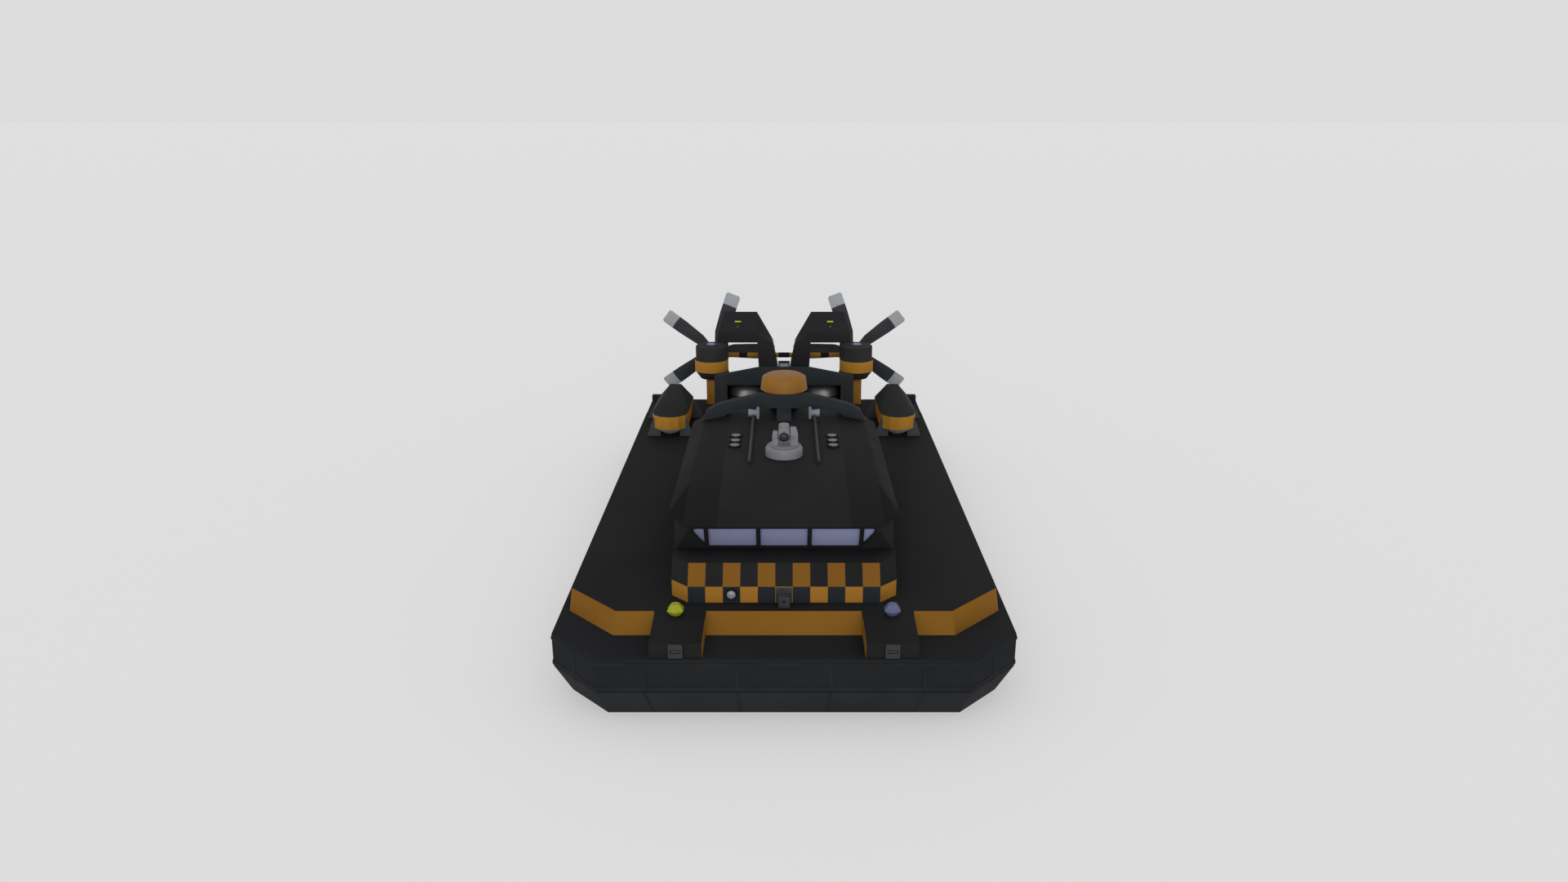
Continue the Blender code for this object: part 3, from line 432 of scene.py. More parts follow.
eaves = within(tree, across, EAVES_HALF, HALF_BEAM)
painted_bevel_shade = mixed(tree, eaves, linear(BEVEL_PAINTED_SHADE), linear(EAVES_PAINTED_SHADE))
tree.links.new(mixed(tree, bevels, coat, painted_bevel_shade), shader.inputs["Base Color"])
shine = add(tree, "ShaderNodeMapRange", {"Value": eaves, "To Min": ROOF_SHINE,
                                         "To Max": EAVES_SHINE}).outputs[0]
tree.links.new(shine, shader.inputs["Specular IOR Level"])
softened("cabin_roof", roof_paint, 0.012)

# Deck fittings: two galvanised fairleads with a roller in each, bolted to the blocks' front faces, and a
# six-sided lamp on top of each block, a coloured polycarbonate lantern on a black rubber foot.
LAMP_X = 1.851
LAMP_Y = -7.06
ROLLER = (1.779, -7.966, 1.31)
# For each axis that a piece is turned about: its side, its up and its own direction, by number
AXES = {"X": (1, 2, 0), "Y": (2, 0, 1), "Z": (0, 1, 2)}


def turned(name, profile, centre, axis, finish, body="root", steps=32):
    """Turns (radius r, height h) pairs about an axis: centre + r (side cos a + up sin a) + h along."""
    side, up, along = np.eye(3)[list(AXES[axis])]
    angles = 2 * pi * (np.arange(steps) + 0.5) / steps
    circle = np.outer(np.cos(angles), side) + np.outer(np.sin(angles), up)
    radii, heights = np.array(profile, float).T
    grid = np.array(centre, float) + radii[:, None, None] * circle + heights[:, None, None] * along
    return skin(name, grid, finish, body)


def plain(name, colour, roughness, shine=0.3, metal=0.0, grain_mm=4.0, bump_mm=0.15):
    """A material of one tone, with patches half a metre across that are 15% paler, and a fine grain."""
    made, tree, shader, place, _ = blank_material(name)
    base = linear(colour)
    fade = tuple(min(1.0, value * 1.15) for value in base[:3]) + (1.0,)
    weathered(tree, shader, place, base, fade,
              patch_m=0.5, grain_mm=grain_mm, bump_mm=bump_mm, roughness=roughness, shine=shine)
    shader.inputs["Metallic"].default_value = metal
    return made


# Galvanised steel under thin dark paint: dull, faintly spangled. Brushed stainless steel: a soft metal sheen.
galvanised_steel = plain("galvanised_steel_painted", "#2b2b2d", 0.6, 0.2)
stainless_steel = plain("brushed_stainless_steel", "#6d6c6b", 0.42, 0.5, 0.8)
# Extruded EPDM rubber: matt black. Moulded polycarbonate and pressed lamp glass: smooth, small highlights.
gasket_rubber = plain("black_epdm_rubber", "#141415", 0.75, 0.1)
green_lens = plain("green_polycarbonate", "#8c9019", 0.28, 0.3, bump_mm=0.02)
blue_lens = plain("blue_grey_polycarbonate", "#545874", 0.28, 0.3, bump_mm=0.02)
clear_lens = plain("frosted_lamp_glass", "#77787a", 0.2, 0.5, bump_mm=0.02)
lantern = [(0.078, 0.004), (0.155, 0.100), (0.160, 0.110), (0.155, 0.120), (0.082, 0.211), (0.074, 0.217)]
foot = [(0.115, 0.0), (0.115, 0.012), (0.108, 0.018), (0.088, 0.018), (0.084, 0.010)]
roller = [(0.022, -0.08), (0.028, -0.074), (0.028, 0.074), (0.022, 0.08)]
rollers = []
for name, side, lens in (("port", 1, blue_lens), ("starboard", -1, green_lens)):
    place = (side * LAMP_X, LAMP_Y, DECK_TOP_Z)
    cover = turned("nav_lens_" + name, lantern, place, "Z", lens, steps=6)
    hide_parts("nav_lamp_" + name)
    turned("nav_lamp_ring_" + name, foot, place, "Z", gasket_rubber, steps=6)
    softened("fairlead_" + name, galvanised_steel, 0.008)
    place = (side * ROLLER[0], *ROLLER[1:])
    rollers.append(turned("roller", roller, place, "X", galvanised_steel, steps=16))
joined("fairlead_rollers", rollers)

# Nose fittings: the round lamp in its black ring, and the tow fitting, a post on a bolted plate with a pin
# through it. Both are fixed to the nose's upright band.
BOW_LAMP = (-0.921, 1.663)
NOSE_Y = -6.589
TOW_PIN_Z = 1.62
TOW_BOLT_Z = 1.765
TOW_BOLTS_X = (-0.12, 0.12)
lamp_place = (BOW_LAMP[0], NOSE_Y, BOW_LAMP[1])
bulb = [(0.076, 0.01), (0.076, -0.036), (0.066, -0.048), (0.044, -0.058), (0.012, -0.061)]
lens = turned("bow_lamp_lens", bulb, lamp_place, "Y", clear_lens)
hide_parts("bow_lamp")
ring = [(0.115, 0.004), (0.115, -0.026), (0.108, -0.034), (0.086, -0.034), (0.078, -0.026), (0.078, 0.004)]
turned("bow_lamp_ring", ring, lamp_place, "Y", gasket_rubber)
softened("tow_fitting", galvanised_steel, 0.006)
pin = [(0.03, 0.0), (0.03, -0.208), (0.022, -0.214)]
turned("tow_pin", pin, (0, NOSE_Y, TOW_PIN_Z), "Y", gasket_rubber, steps=20)
bolt = [(0.012, 0.0), (0.012, -0.034), (0.008, -0.038)]
bolt_places = [(x, NOSE_Y, TOW_BOLT_Z) for x in TOW_BOLTS_X]
bolts = [turned("bolt", bolt, place, "Y", stainless_steel, steps=6) for place in bolt_places]
joined("tow_plate_bolts", bolts)

# Window glass: tinted laminated sheets whose pale blue-grey is their tint and a painted reflection of the
# pale sky, which shows more than the cabin. Each stands behind its frame, in a black rubber gasket that lips
# over the edge of the opening.
SCREEN_FOOT_Y = -5.681
SCREEN_HEAD = (-5.96, 2.677)
SCREEN_SLOPE = (SCREEN_HEAD[0] - SCREEN_FOOT_Y) / (SCREEN_HEAD[1] - SILL_Z)
CABIN_HALF = 2.0
GASKET_WIDTH = 0.026
SIDE_GASKET_WIDTH = 1.4 * GASKET_WIDTH
GASKET_PROUD = 0.005
PANE_Z = (2.17, 2.63)
# The two upright edges of each front pane, as x
FRONT_PANES = [(-0.435, 0.435), (0.485, 1.368), (-1.368, -0.485)]
QUARTER_LIGHT = [(1.418, 2.20), (1.418, 2.63), (1.625, 2.63), (1.625, 2.52)]
SIDE_WINDOW_Z = (2.21, 2.59)
SIDE_WINDOWS_Y = [(-5.15 + 1.13 * step, -4.20 + 1.13 * step) for step in range(4)]


def rectangle(first, second):
    """The corners of a rectangle from its two ranges, in order round it."""
    return [(first[a], second[b]) for a, b in ((0, 0), (1, 0), (1, 1), (0, 1))]


# Laminated glass with a blue-grey tint, its pale tone partly a painted reflection of the sky: smooth, a
# little see-through, with a sharp highlight.
glass_tint_and_painted_sky, _, shader, _, _ = blank_material("laminated_glass_tint_and_painted_sky")
shader.inputs["Base Color"].default_value = linear("#888cac")
shader.inputs["Roughness"].default_value = 0.09
shader.inputs["Specular IOR Level"].default_value = 0.5
shader.inputs["Alpha"].default_value = 0.86
for node in ("windscreen_glass", "side_glass_port", "side_glass_starboard"):
    softened(node, glass_tint_and_painted_sky, 0.002)
seals = []
lean = np.array([0, -1, SCREEN_SLOPE]) / np.hypot(1, SCREEN_SLOPE)
panes = [rectangle(edges_x, PANE_Z) for edges_x in FRONT_PANES]
panes += [[(side * x, z) for x, z in QUARTER_LIGHT] for side in (1, -1)]
for pane in panes:
    path = [(x, SCREEN_FOOT_Y + SCREEN_SLOPE * (z - SILL_Z), z) for x, z in pane]
    seals.append(strip("seal", path, lean, GASKET_WIDTH, GASKET_PROUD, gasket_rubber, closed=True))
for side in (1, -1):
    for edges_y in SIDE_WINDOWS_Y:
        path = [(side * CABIN_HALF, *corner) for corner in rectangle(edges_y, SIDE_WINDOW_Z)]
        seals.append(strip("seal", path, (side, 0, 0), SIDE_GASKET_WIDTH, GASKET_PROUD, gasket_rubber,
                           closed=True))
joined("window_seals", seals)

# Helm: a moulded console with three screens, a row of knobs and a wheel, and two seats on steel columns. The
# seats' cushions are vinyl over foam, crowned, and pulled in along their sides where the covers are sewn.
CONSOLE_EDGE = ((-5.52, 2.06), (-5.15, 1.92))
# Each screen's middle x and half its width
SCREENS = ((-0.62, 0.17), (0.0, 0.22), (0.62, 0.17))
SCREENS_ALONG = -0.05
KNOBS_X = (-0.95, -0.86, -0.32, 0.32, 0.86, 0.95)
KNOBS_ALONG = 0.12
SEAT_X = 0.62
SEAT_COLUMN_Y = -4.50
# Each cushion's middle, as y and z, and its half sizes
SQUAB = ((-4.51, 1.672), (0.246, 0.246, 0.066))
BACK = ((-4.245, 2.035), (0.236, 0.062, 0.30))
# Moulded ABS with a fine leather grain, glossy screen glass, and vinyl cloth with a soft grained sheen.
console_plastic = plain("moulded_abs_plastic", "#232325", 0.6, 0.3, grain_mm=1.5, bump_mm=0.1)
screen_glass = plain("dark_screen_glass", "#15181c", 0.1, 0.5, bump_mm=0.0)
seat_vinyl = plain("padded_seat_vinyl", "#1d1d1f", 0.55, 0.3, grain_mm=3.0, bump_mm=0.25)
softened("helm_console", console_plastic, 0.020)
(front_y, front_z), (back_y, back_z) = CONSOLE_EDGE
console_middle = np.array([0, (front_y + back_y) / 2, (front_z + back_z) / 2])
down_slope = np.array([0, back_y - front_y, back_z - front_z])
down_slope /= np.linalg.norm(down_slope)
console_up = np.cross([1, 0, 0], down_slope)


def on_console(x, along, up):
    """A point on the console's sloping top: middle + x across + along down the slope + up off its face."""
    return console_middle + np.array([x, 0, 0]) + along * down_slope + up * console_up


screens = []
for x, half in SCREENS:
    levels = [(-0.004, half, 0.10), (0.008, half, 0.10), (0.012, half - 0.006, 0.094)]
    grid = np.array([[on_console(x + a * wide, SCREENS_ALONG + b * tall, up) for a, b in ROUND_SQUARE]
                     for up, wide, tall in levels])
    screens.append(skin("screen", grid, screen_glass, "root"))
joined("console_screens", screens)
knobs = []
around = 2 * pi * np.arange(16) / 16
knob_rows = [(0.018, -0.004), (0.018, 0.014), (0.014, 0.020), (0.003, 0.021)]
for x in KNOBS_X:
    grid = np.array([[on_console(x + r * cos(a), KNOBS_ALONG + r * sin(a), h) for a in around]
                     for r, h in knob_rows])
    knobs.append(skin("knob", grid, stainless_steel, "root"))
joined("console_knobs", knobs)

# The wheel: a ring of rubber on three spokes and a short column, in front of the starboard seat.
WHEEL_MIDDLE = np.array([-SEAT_X, -5.06, 1.99])
WHEEL_RADIUS = 0.165
WHEEL_TUBE = 0.013
wheel_axis = np.array([0, 0.77, 0.64])
wheel_up = np.array([0, -0.64, 0.77])
around = 2 * pi * np.arange(48)[:, None] / 48
tube = 2 * pi * np.arange(12)[None, :] / 12
spread = (WHEEL_RADIUS + WHEEL_TUBE * np.cos(tube))[..., None]
circle = np.cos(around)[..., None] * np.array([1, 0, 0]) + np.sin(around)[..., None] * wheel_up
rim_grid = WHEEL_MIDDLE + spread * circle + (WHEEL_TUBE * np.sin(tube))[..., None] * wheel_axis
wheel_parts = [skin("wheel_rim", rim_grid, gasket_rubber, "root", looped=True)]
for angle in (pi / 2, pi * 7 / 6, pi * 11 / 6):
    outward = cos(angle) * np.array([1, 0, 0]) + sin(angle) * wheel_up
    ends = [WHEEL_MIDDLE, WHEEL_MIDDLE + WHEEL_RADIUS * outward]
    wheel_parts.append(strip("spoke", ends, wheel_axis, 0.024, 0.004, stainless_steel))
column = [WHEEL_MIDDLE + 0.01 * wheel_axis, WHEEL_MIDDLE - 0.14 * wheel_axis]
wheel_parts.append(strip("column", column, wheel_up, 0.04, 0.02, console_plastic))
joined("helm_wheel", wheel_parts)


def cushion(name, middle, half):
    """A crowned pad, from one crown round its seam, at level 0, to the other.

    Width = half * cos(level)^0.33 * plan, and height = half * sin(level)^0.9, less a tenth at the seam. The
    plan is a square rounded by a fifth power, and pulled in by a twenty-fifth between its corners.
    """
    level = np.linspace(-pi / 2, pi / 2, 33)[:, None]
    angle = 2 * pi * np.arange(64)[None, :] / 64
    flat = np.abs(np.cos(angle)) ** 5 + np.abs(np.sin(angle)) ** 5
    reach = flat ** -0.2 * (1 - 0.04 * np.cos(2 * angle) ** 2)
    width = np.cos(level) ** 0.33 * reach
    height = np.sign(np.sin(level)) * np.abs(np.sin(level)) ** 0.9 * (1 - 0.10 * np.abs(np.cos(level)))
    grid = np.stack([width * np.cos(angle) * half[0], width * np.sin(angle) * half[1],
                     np.broadcast_to(height * half[2], width.shape)], axis=-1)
    pad = skin(name, grid + np.array(middle), seat_vinyl, "root", capped=False)
    return pad


column = [(0.115, 1.1735), (0.115, 1.185), (0.04, 1.20), (0.035, 1.56), (0.09, 1.585), (0.11, 1.603)]
bend = ((-4.30, 1.612), (-4.20, 1.612), (-4.20, 1.80))
for name, side in (("port", 1), ("starboard", -1)):
    seat_x = side * SEAT_X
    squab = cushion("seat_cushion_" + name, (seat_x, *SQUAB[0]), SQUAB[1])
    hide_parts("helm_seat_" + name)
    cushion("seat_back_" + name, (seat_x, *BACK[0]), BACK[1])
    turned("seat_column_" + name, column, (seat_x, SEAT_COLUMN_Y, 0), "Z", galvanised_steel, steps=28)
    brackets = []
    for x in (seat_x - 0.12, seat_x + 0.12):
        path = [(x, y, z) for y, z in bend]
        brackets.append(strip("bracket", path, (1, 0, 0), 0.03, 0.006, galvanised_steel))
    joined("seat_brackets_" + name, brackets)

# Side doors: an aluminium leaf in the wall, with a pressed rim, a glass, a rubber seal round it and a lever
# handle on its aft side. Leaf, glass and fittings swing on the two outside hinges.
DOOR_Y = (-0.694, 0.090)
DOOR_Z = (1.566, 2.614)
DOOR_WINDOW_Y = (-0.55, -0.05)
DOOR_WINDOW_Z = (2.21, 2.50)
RIM_INSET = 0.045
HANDLE_Y = 0.00
HANDLE_Z = 2.08


def outboard(profile, side):
    """A profile whose heights run outboard: towards port where side is 1, and starboard where it is -1."""
    return [(radius, side * height) for radius, height in profile]


rim_y = (DOOR_Y[0] + RIM_INSET, DOOR_Y[1] - RIM_INSET)
rim_z = (DOOR_Z[0] + RIM_INSET, DOOR_Z[1] - RIM_INSET)
rose_rows = [(0.028, -0.004), (0.028, 0.008), (0.012, 0.012), (0.011, 0.044)]
for name, side in (("port", 1), ("starboard", -1)):
    body = name + "_door"
    softened("door_" + name, cabin_paint, 0.004)
    softened("door_glass_" + name, glass_tint_and_painted_sky, 0.001)
    rim = [(side * CABIN_HALF, *corner) for corner in rectangle(rim_y, rim_z)]
    strip("door_rim_" + name, rim, (side, 0, 0), 0.035, 0.006, cabin_paint, body, closed=True)
    pane = [(side * CABIN_HALF, *corner) for corner in rectangle(DOOR_WINDOW_Y, DOOR_WINDOW_Z)]
    strip("door_glass_seal_" + name, pane, (side, 0, 0), SIDE_GASKET_WIDTH, GASKET_PROUD, gasket_rubber,
          body, closed=True)
    rose = turned("rose", outboard(rose_rows, side), (side * CABIN_HALF, HANDLE_Y, HANDLE_Z), "X",
                  stainless_steel, body, steps=20)
    lever_path = [(side * (CABIN_HALF + 0.036), HANDLE_Y + y, HANDLE_Z) for y in (0.014, -0.11)]
    lever = strip("lever", lever_path, (side, 0, 0), 0.024, 0.009, stainless_steel, body)
    joined("door_handle_" + name, [rose, lever])

# Roof: a folded aluminium shell with welded seams, a drip rail along each eave, and six round vents, each a
# steel disc in a raised rubber ring.
ROOF_Z = 3.062
VENT_X = 1.017
VENTS_Y = (-2.60, -2.28, -1.94)
VENT_TOP_Z = 3.09
EAVE = (2.098, 2.70)
DRIP_RAIL_Y = (-5.30, 0.22)
ROOF_SEAMS_Y = (-2.95, -0.95)
# The roof's section from its starboard knuckle over the flat to the port one, as x and z
ROOF_SECTION = ((-1.78, 2.9365), (-1.186, ROOF_Z), (1.186, ROOF_Z), (1.78, 2.9365))
disc = [(0.100, -0.002), (0.096, 0.010), (0.07, 0.017), (0.02, 0.020)]
ring = [(0.137, -0.024), (0.137, 0.004), (0.130, 0.012), (0.112, 0.012), (0.102, 0.002)]
vent_discs, vent_rings, drip_rails = [], [], []
for side in (1, -1):
    for y in VENTS_Y:
        place = (side * VENT_X, y, VENT_TOP_Z)
        vent_discs.append(turned("vent", disc, place, "Z", stainless_steel))
        vent_rings.append(turned("ring", ring, place, "Z", gasket_rubber))
joined("vent_discs", vent_discs)
joined("vent_rings", vent_rings)
for side in (1, -1):
    path = [(side * EAVE[0], y, EAVE[1]) for y in DRIP_RAIL_Y]
    drip_rails.append(strip("drip_rail", path, (side, 0, 0), 0.024, 0.008, cabin_paint))
joined("drip_rails", drip_rails)
roof_seams = []
for y in ROOF_SEAMS_Y:
    path = [(x, y, z) for x, z in ROOF_SECTION]
    roof_seams.append(strip("seam", path, (0, 0, 1), 0.03, 0.003, cabin_paint))
joined("roof_seams", roof_seams)

# Roof rails: steel tube on five feet, bolted through the roof. On its aft end an upright plate carries a
# floodlight, a ribbed barrel that points outboard, with a frosted lens in its mouth.
RAIL_X = 0.682
RAIL_Z = 3.13
RAIL_RADIUS = 0.0325
RAIL_FEET_Y = (-3.567, -0.72)
FLOODLIGHT = (-0.62, 3.195)
FLOODLIGHT_PLATE_Z = (3.07, 3.32)
PLATE_X = RAIL_X - 0.10
# Stoved enamel on cast aluminium: pale blue-grey, with a slight orange-peel sheen.
lamp_enamel = plain("blue_grey_enamel", "#70717c", 0.45, 0.3, grain_mm=3.0, bump_mm=0.1)
tube = [(0.02, -3.715), (RAIL_RADIUS, -3.70), (RAIL_RADIUS, -0.46), (0.02, -0.445)]
foot = [(0.045, 3.0625), (0.045, 3.072), (0.02, 3.076), (0.02, RAIL_Z)]
barrel = [(0.05, -0.08), (0.072, -0.07), (0.072, -0.03), (0.066, -0.026), (0.066, -0.012), (0.072, -0.008),
          (0.078, 0.03), (0.088, 0.09), (0.088, 0.112), (0.080, 0.112), (0.078, 0.104)]
glass = [(0.079, 0.100), (0.079, 0.107), (0.05, 0.112), (0.01, 0.114)]
for name, side in (("port", 1), ("starboard", -1)):
    rail = [turned("tube", tube, (side * RAIL_X, 0, RAIL_Z), "Y", galvanised_steel, steps=20)]
    for y in np.linspace(*RAIL_FEET_Y, 5):
        rail.append(turned("foot", foot, (side * RAIL_X, y, 0), "Z", galvanised_steel, steps=16))
    rail = joined("rail_tube_" + name, rail)
    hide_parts("rail_" + name)
    place = (side * RAIL_X, *FLOODLIGHT)
    plate_path = [(side * PLATE_X, FLOODLIGHT[0], z) for z in FLOODLIGHT_PLATE_Z]
    plate = strip("plate", plate_path, (-side, 0, 0), 0.12, 0.03, lamp_enamel)
    casing = turned("barrel", outboard(barrel, side), place, "X", lamp_enamel)
    joined("floodlight_" + name, [plate, casing])
    turned("floodlight_lens_" + name, outboard(glass, side), place, "X", clear_lens)

# Radar arch: a welded aluminium box over the roof, with a fairing that runs forward at its middle and a stand
# behind it for the radome. It is primed and sprayed like the cabin.
frame_paint = plain("polyurethane_frame_coat", "#25282b", 0.7, 0.07, grain_mm=6.0, bump_mm=0.3)
softened("arch", frame_paint, 0.012)

# Radome: a drum of orange fibreglass, moulded in one and turned smooth, bolted to the arch through its foot.
# The pigment is in its gelcoat, so it keeps one even tone with a soft gloss.
RADOME_Y = 0.276
ARCH_TOP_Z = 3.524
orange_fibreglass = plain("orange_gelcoat_fibreglass", "#80571b", 0.5, 0.18, grain_mm=30.0, bump_mm=0.3)
radome_rows = [(0.541, 0.0005), (0.541, 0.016), (0.530, 0.024), (0.532, 0.05), (0.503, 0.262), (0.492, 0.283),
               (0.404, 0.332), (0.385, 0.3365), (0.10, 0.337)]
radome = turned("radome_shell", radome_rows, (0, RADOME_Y, ARCH_TOP_Z), "Z", orange_fibreglass, steps=64)
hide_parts("radome")

# Searchlight turret: cast aluminium with a light grey enamel, a fixed drum, a yoke that pans on it and a head
# that tilts in the yoke. The lens is dark glass, sunk in the snout.
TURRET_Y = -3.116
TILT_Z = 3.50
CAP_Z = 3.47
CHEEK_FACE_X = {"port": 0.278, "starboard": 0.230}
# The same stoved enamel in light grey, and a dark glass with a clear sharp highlight.
light_enamel = plain("light_grey_enamel", "#6c6d70", 0.5, 0.25, grain_mm=3.0, bump_mm=0.1)
dark_lens = plain("dark_searchlight_glass", "#2c2d31", 0.12, 0.6, bump_mm=0.0)
base_rows = [(0.377, 3.0625), (0.377, 3.19), (0.368, 3.214), (0.345, 3.250), (0.335, 3.262)]
drum = turned("turret_drum", base_rows, (0, TURRET_Y, 0), "Z", light_enamel, steps=48)
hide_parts("turret_base")
softened("turret_yoke", light_enamel, 0.006)
softened("turret_head", light_enamel, 0.006)
head_middle = (0, TURRET_Y, TILT_Z)
rim = [(0.093, -0.232), (0.094, -0.241), (0.088, -0.246), (0.070, -0.246), (0.066, -0.238)]
turned("searchlight_rim", rim, head_middle, "Y", gasket_rubber, "turret_tilt")
glass = [(0.067, -0.236), (0.067, -0.241), (0.04, -0.243), (0.01, -0.244)]
turned("searchlight_lens", glass, head_middle, "Y", dark_lens, "turret_tilt")
cap = [(0.045, -0.02), (0.045, 0.008), (0.036, 0.014), (0.010, 0.016)]
for name, side in (("port", 1), ("starboard", -1)):
    place = (side * CHEEK_FACE_X[name], TURRET_Y, CAP_Z)
    turned("turret_trunnion_cap_" + name, outboard(cap, side), place, "X", galvanised_steel, "turret_pan",
           steps=24)

# Engine house: a folded aluminium cover over the engine bay, welded to the deck and open at the front, with a
# flat lamp over its opening. The engine is a plain painted block, and beside it stand two intake drums with
# domed steel lids.
DRUM_X = 1.04
DRUM_Y = 4.45
DRUM_RADIUS = 0.46
RIB_FOOT_Z = 1.60
RIB_ROWS = 15
RIB_DEPTH = 0.012
RIB_STEP = 0.045
LAMP_FACE_Y = 3.83
LAMP_MIDDLE_Z = 3.16
LAMP_HALF = (0.13, 0.09)
ENGINE_BOLTS_X = (-0.38, 0.38)
ENGINE_BOLTS_Y = (4.43, 4.78, 5.12)
ENGINE_BOLTS_Z = 2.448
softened("engine_house", frame_paint, 0.010)
softened("engine", galvanised_steel, 0.015)
lamp_edge = [(a * LAMP_HALF[0], LAMP_FACE_Y, LAMP_MIDDLE_Z + b * LAMP_HALF[1]) for a, b in ROUND_SQUARE]
strip("house_lamp_rim", lamp_edge, (0, -1, 0), 0.03, 0.008, gasket_rubber, closed=True)
lamp_rows = [(0.004, 0.118, 0.078), (-0.003, 0.118, 0.078), (-0.008, 0.10, 0.06)]
grid = np.array([[(a * half_x, LAMP_FACE_Y + out, LAMP_MIDDLE_Z + b * half_z) for a, b in ROUND_SQUARE]
                 for out, half_x, half_z in lamp_rows])
skin("house_lamp_lens", grid, clear_lens, "root")
bolt = [(0.02, 0.0), (0.02, 0.016), (0.014, 0.022)]
bolt_places = [(x, y, ENGINE_BOLTS_Z) for x in ENGINE_BOLTS_X for y in ENGINE_BOLTS_Y]
head_bolts = [turned("bolt", bolt, place, "Z", stainless_steel, steps=6) for place in bolt_places]
joined("engine_head_bolts", head_bolts)

# The drums' walls are pressed in ribs: of every four rows, the middle two are sunk.
wall = [(DRUM_RADIUS, 1.4985)]
for row in range(RIB_ROWS):
    sunk = row % 4 in (1, 2)
    wall.append((DRUM_RADIUS - RIB_DEPTH * sunk, RIB_FOOT_Z + RIB_STEP * row))
lid = [(DRUM_RADIUS, 2.262), (0.452, 2.29), (0.425, 2.405), (0.378, 2.48), (0.312, 2.54), (0.23, 2.586),
       (0.13, 2.615), (0.02, 2.625)]
band_rows = [(0.456, 2.245), (0.468, 2.249), (0.468, 2.271), (0.456, 2.275)]
for name, side in (("port", 1), ("starboard", -1)):
    place = (side * DRUM_X, DRUM_Y, 0)
    drum = turned("intake_drum_shell_" + name, wall + lid, place, "Z", stainless_steel, steps=48)
    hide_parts("intake_drum_" + name)
    turned("intake_drum_band_" + name, band_rows, place, "Z", gasket_rubber, steps=48)

# Lift-fan pods: folded aluminium housings on four gussets, dark above and grey below, with an orange band
# round their upright faces that stops short of the back.
POD_X = 2.961
POD_BAND_Y = (2.5, 4.79)
POD_HALF = 0.466
POD_NOSE_MIDDLE_Y = 3.236
POD_BAND_Z = (1.718, 2.06)
POD_FADED = "#242425"
PAINT_GREY, PAINT_GREY_FADED = "#3c3d3f", "#434446"
# Painted light: the flare under the band's front is painted a pale grey, as light on its down-facing faces.
FLARE_PAINTED_LIGHT = "#8a8b8d"
FLARE_END_Y = 2.975
BAND_ORANGES = ("#966a24", "#9f7028")
pod_paint, tree, shader, place, (x, y, z) = blank_material("polyurethane_pod_coat")
patches = weathered(tree, shader, place, faded_coat, linear(POD_FADED),
                    patch_m=0.6, grain_mm=6.0, bump_mm=0.3, roughness=0.7, shine=0.07)
across = add(tree, "ShaderNodeMath", {0: x}, operation="ABSOLUTE").outputs[0]
off_middle = add(tree, "ShaderNodeMath", {0: across, 1: -POD_X}, operation="ADD").outputs[0]
ahead = add(tree, "ShaderNodeMath", {0: y, 1: -POD_NOSE_MIDDLE_Y}, operation="ADD").outputs[0]
ahead = both(tree, ahead, 0.0, "MINIMUM")
reach = add(tree, "ShaderNodeCombineXYZ", {0: off_middle, 1: ahead}).outputs[0]
reach = add(tree, "ShaderNodeVectorMath", {0: reach}, operation="LENGTH").outputs["Value"]
inside = add(tree, "ShaderNodeMath", {0: reach, 1: POD_HALF + 0.004}, operation="LESS_THAN").outputs[0]
above = add(tree, "ShaderNodeMath", {0: z, 1: POD_BAND_Z[0]}, operation="GREATER_THAN").outputs[0]
coat = shader.inputs["Base Color"].links[0].from_socket
# Painted light: ahead of the flare's end the underside takes the pale painted-light grey.
lit_flare = add(tree, "ShaderNodeMath", {0: y, 1: FLARE_END_Y}, operation="LESS_THAN").outputs[0]
underside = mixed(tree, patches, linear(PAINT_GREY), linear(PAINT_GREY_FADED))
grey = mixed(tree, lit_flare, underside, linear(FLARE_PAINTED_LIGHT))
tree.links.new(mixed(tree, both(tree, inside, above), grey, coat), shader.inputs["Base Color"])
band = both(tree, inside, within(tree, z, *POD_BAND_Z))
band = both(tree, band, within(tree, y, *POD_BAND_Y))
striped(tree, shader, band, patches, BAND_ORANGES)
for name in ("pod_port", "pod_starboard"):
    softened(name, pod_paint, 0.008)

# Pylons and nacelles: an orange steel box column under each drive housing, a drum of cast aluminium with an
# orange band round its middle and a small marker light on its lid.
SHAFT_X = 2.059
SHAFT_Z = 2.692
NACELLE_Y = 6.106
NACELLE_TOP_Z = 3.206
NACELLE_BAND_Z = (2.492, 2.806)
NACELLE_BAND_Y = (5.5, 6.585)
CAST_DARK, CAST_FADED = "#262625", "#2c2c2b"
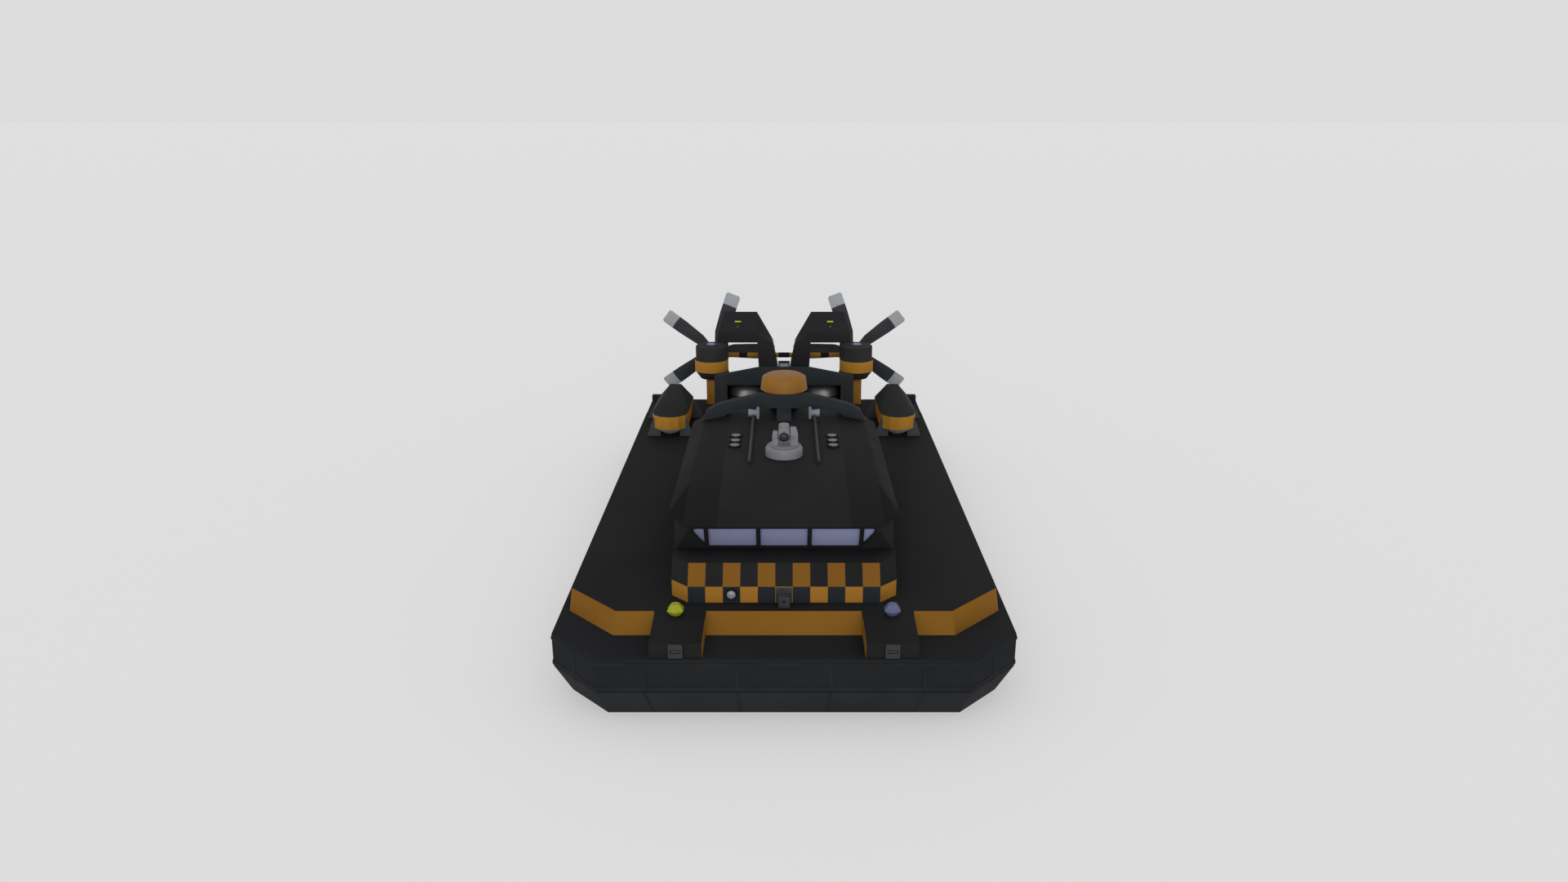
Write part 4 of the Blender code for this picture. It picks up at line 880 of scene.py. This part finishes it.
# Two-pack polyurethane again: orange on the pylons, dark with an orange band on the housings.
orange_paint = plain("orange_polyurethane_coat", "#8a5f20", 0.6, 0.1, grain_mm=6.0, bump_mm=0.3)
nacelle_paint, tree, shader, place, (_, y, z) = blank_material("polyurethane_nacelle_coat")
patches = weathered(tree, shader, place, linear(CAST_DARK), linear(CAST_FADED),
                    patch_m=0.6, grain_mm=6.0, bump_mm=0.3, roughness=0.7, shine=0.07)
band = both(tree, within(tree, z, *NACELLE_BAND_Z), within(tree, y, *NACELLE_BAND_Y))
striped(tree, shader, band, patches, BAND_ORANGES)
light_rows = [(0.14, -0.004), (0.14, 0.020), (0.125, 0.034), (0.08, 0.046), (0.02, 0.050)]
ring = [(0.165, -0.004), (0.165, 0.012), (0.155, 0.018), (0.138, 0.018)]
for name, side in (("port", 1), ("starboard", -1)):
    softened("pylon_" + name, orange_paint, 0.010)
    softened("nacelle_" + name, nacelle_paint, 0.008)
    lid_middle = (side * SHAFT_X, NACELLE_Y, NACELLE_TOP_Z)
    turned("marker_light_" + name, light_rows, lid_middle, "Z", blue_lens)
    turned("marker_light_ring_" + name, ring, lid_middle, "Z", gasket_rubber)

# Fins and cross tube: two welded aluminium portals that stand on the hull's ledge, each with a small beacon
# on its beam, and between the shaft housings a steel tube in orange with dark sleeves.
CROSS_TUBE_Y = 7.20
CROSS_TUBE_Z = 2.66
SLEEVES_X = ((-0.16, 0.16), (1.08, 1.32), (-1.32, -1.08))
# The same two-pack coat as the cabin's: satin, and nearly black.
fin_paint = plain("polyurethane_fin_coat", "#212123", 0.7, 0.07, grain_mm=6.0, bump_mm=0.3)
# Fluorescent beacon glass: yellow-green and smooth.
beacon_glass = plain("yellow_green_beacon_glass", "#b4b80e", 0.25, 0.3, bump_mm=0.0)
for name, side in (("port", 1), ("starboard", -1)):
    softened("fin_" + name, fin_paint, 0.012)
softened("cross_tube", orange_paint, 0.002)
sleeves = []
for start, end in SLEEVES_X:
    sleeve = [(0.069, start), (0.076, start + 0.004), (0.076, end - 0.004), (0.069, end)]
    sleeves.append(turned("sleeve", sleeve, (0, CROSS_TUBE_Y, CROSS_TUBE_Z), "X", gasket_rubber, steps=24))
joined("cross_tube_sleeves", sleeves)
BEACON_X = 1.33
BEACON_Y = 6.85
STUD_Y = 6.73
# The two edges of each beam's leaning front face, as y and z
BEAM_FOOT = (6.60, 3.478)
BEAM_HEAD = (7.10, 3.97)
BEAM_RISE = (BEAM_HEAD[1] - BEAM_FOOT[1]) / (BEAM_HEAD[0] - BEAM_FOOT[0])
beam_out = np.array([0, -BEAM_RISE, 1]) / np.hypot(1, BEAM_RISE)
for name, side in (("port", 1), ("starboard", -1)):
    for piece, y, half, tall, proud, finish in (("beacon_", BEACON_Y, 0.085, 0.034, 0.020, beacon_glass),
                                                ("beam_stud_", STUD_Y, 0.018, 0.05, 0.01, stainless_steel)):
        z = BEAM_FOOT[1] + (y - BEAM_FOOT[0]) * BEAM_RISE
        ends = [(side * BEACON_X + x, y, z) for x in (-half, half)]
        strip(piece + name, ends, beam_out, tall, proud, finish)

# Propellers: five glass-fibre blades, painted dark with pale tips, on a cast hub with a spun spinner. One
# turns on each shaft, behind the fins.
PROPELLER_RADIUS = 1.78
TIP_BAND = 0.35
BLADE_DARK, BLADE_FADED = "#2c2d30", "#323336"
TIP_PALE, TIP_FADED = "#8b9094", "#95999d"
band_start = PROPELLER_RADIUS - TIP_BAND
# Glass fibre under hard satin paint, which gives the blades a soft highlight.
for name, side in (("port", 1), ("starboard", -1)):
    blade_paint, tree, shader, place, (x, _, z) = blank_material("painted_glass_fibre_blade_" + name)
    patches = weathered(tree, shader, place, linear(BLADE_DARK), linear(BLADE_FADED),
                        patch_m=0.4, grain_mm=5.0, bump_mm=0.2, roughness=0.55, shine=0.15)
    coat = shader.inputs["Base Color"].links[0].from_socket
    out = add(tree, "ShaderNodeMath", {0: x, 1: -side * SHAFT_X}, operation="ADD").outputs[0]
    up = add(tree, "ShaderNodeMath", {0: z, 1: -SHAFT_Z}, operation="ADD").outputs[0]
    vector = add(tree, "ShaderNodeCombineXYZ", {0: out, 1: up}).outputs[0]
    radius = add(tree, "ShaderNodeVectorMath", {0: vector}, operation="LENGTH").outputs["Value"]
    beyond = add(tree, "ShaderNodeMath", {0: radius, 1: band_start}, operation="GREATER_THAN").outputs[0]
    tip = mixed(tree, patches, linear(TIP_PALE), linear(TIP_FADED))
    tree.links.new(mixed(tree, beyond, coat, tip), shader.inputs["Base Color"])
    softened("propeller_" + name, blade_paint, 0.003)
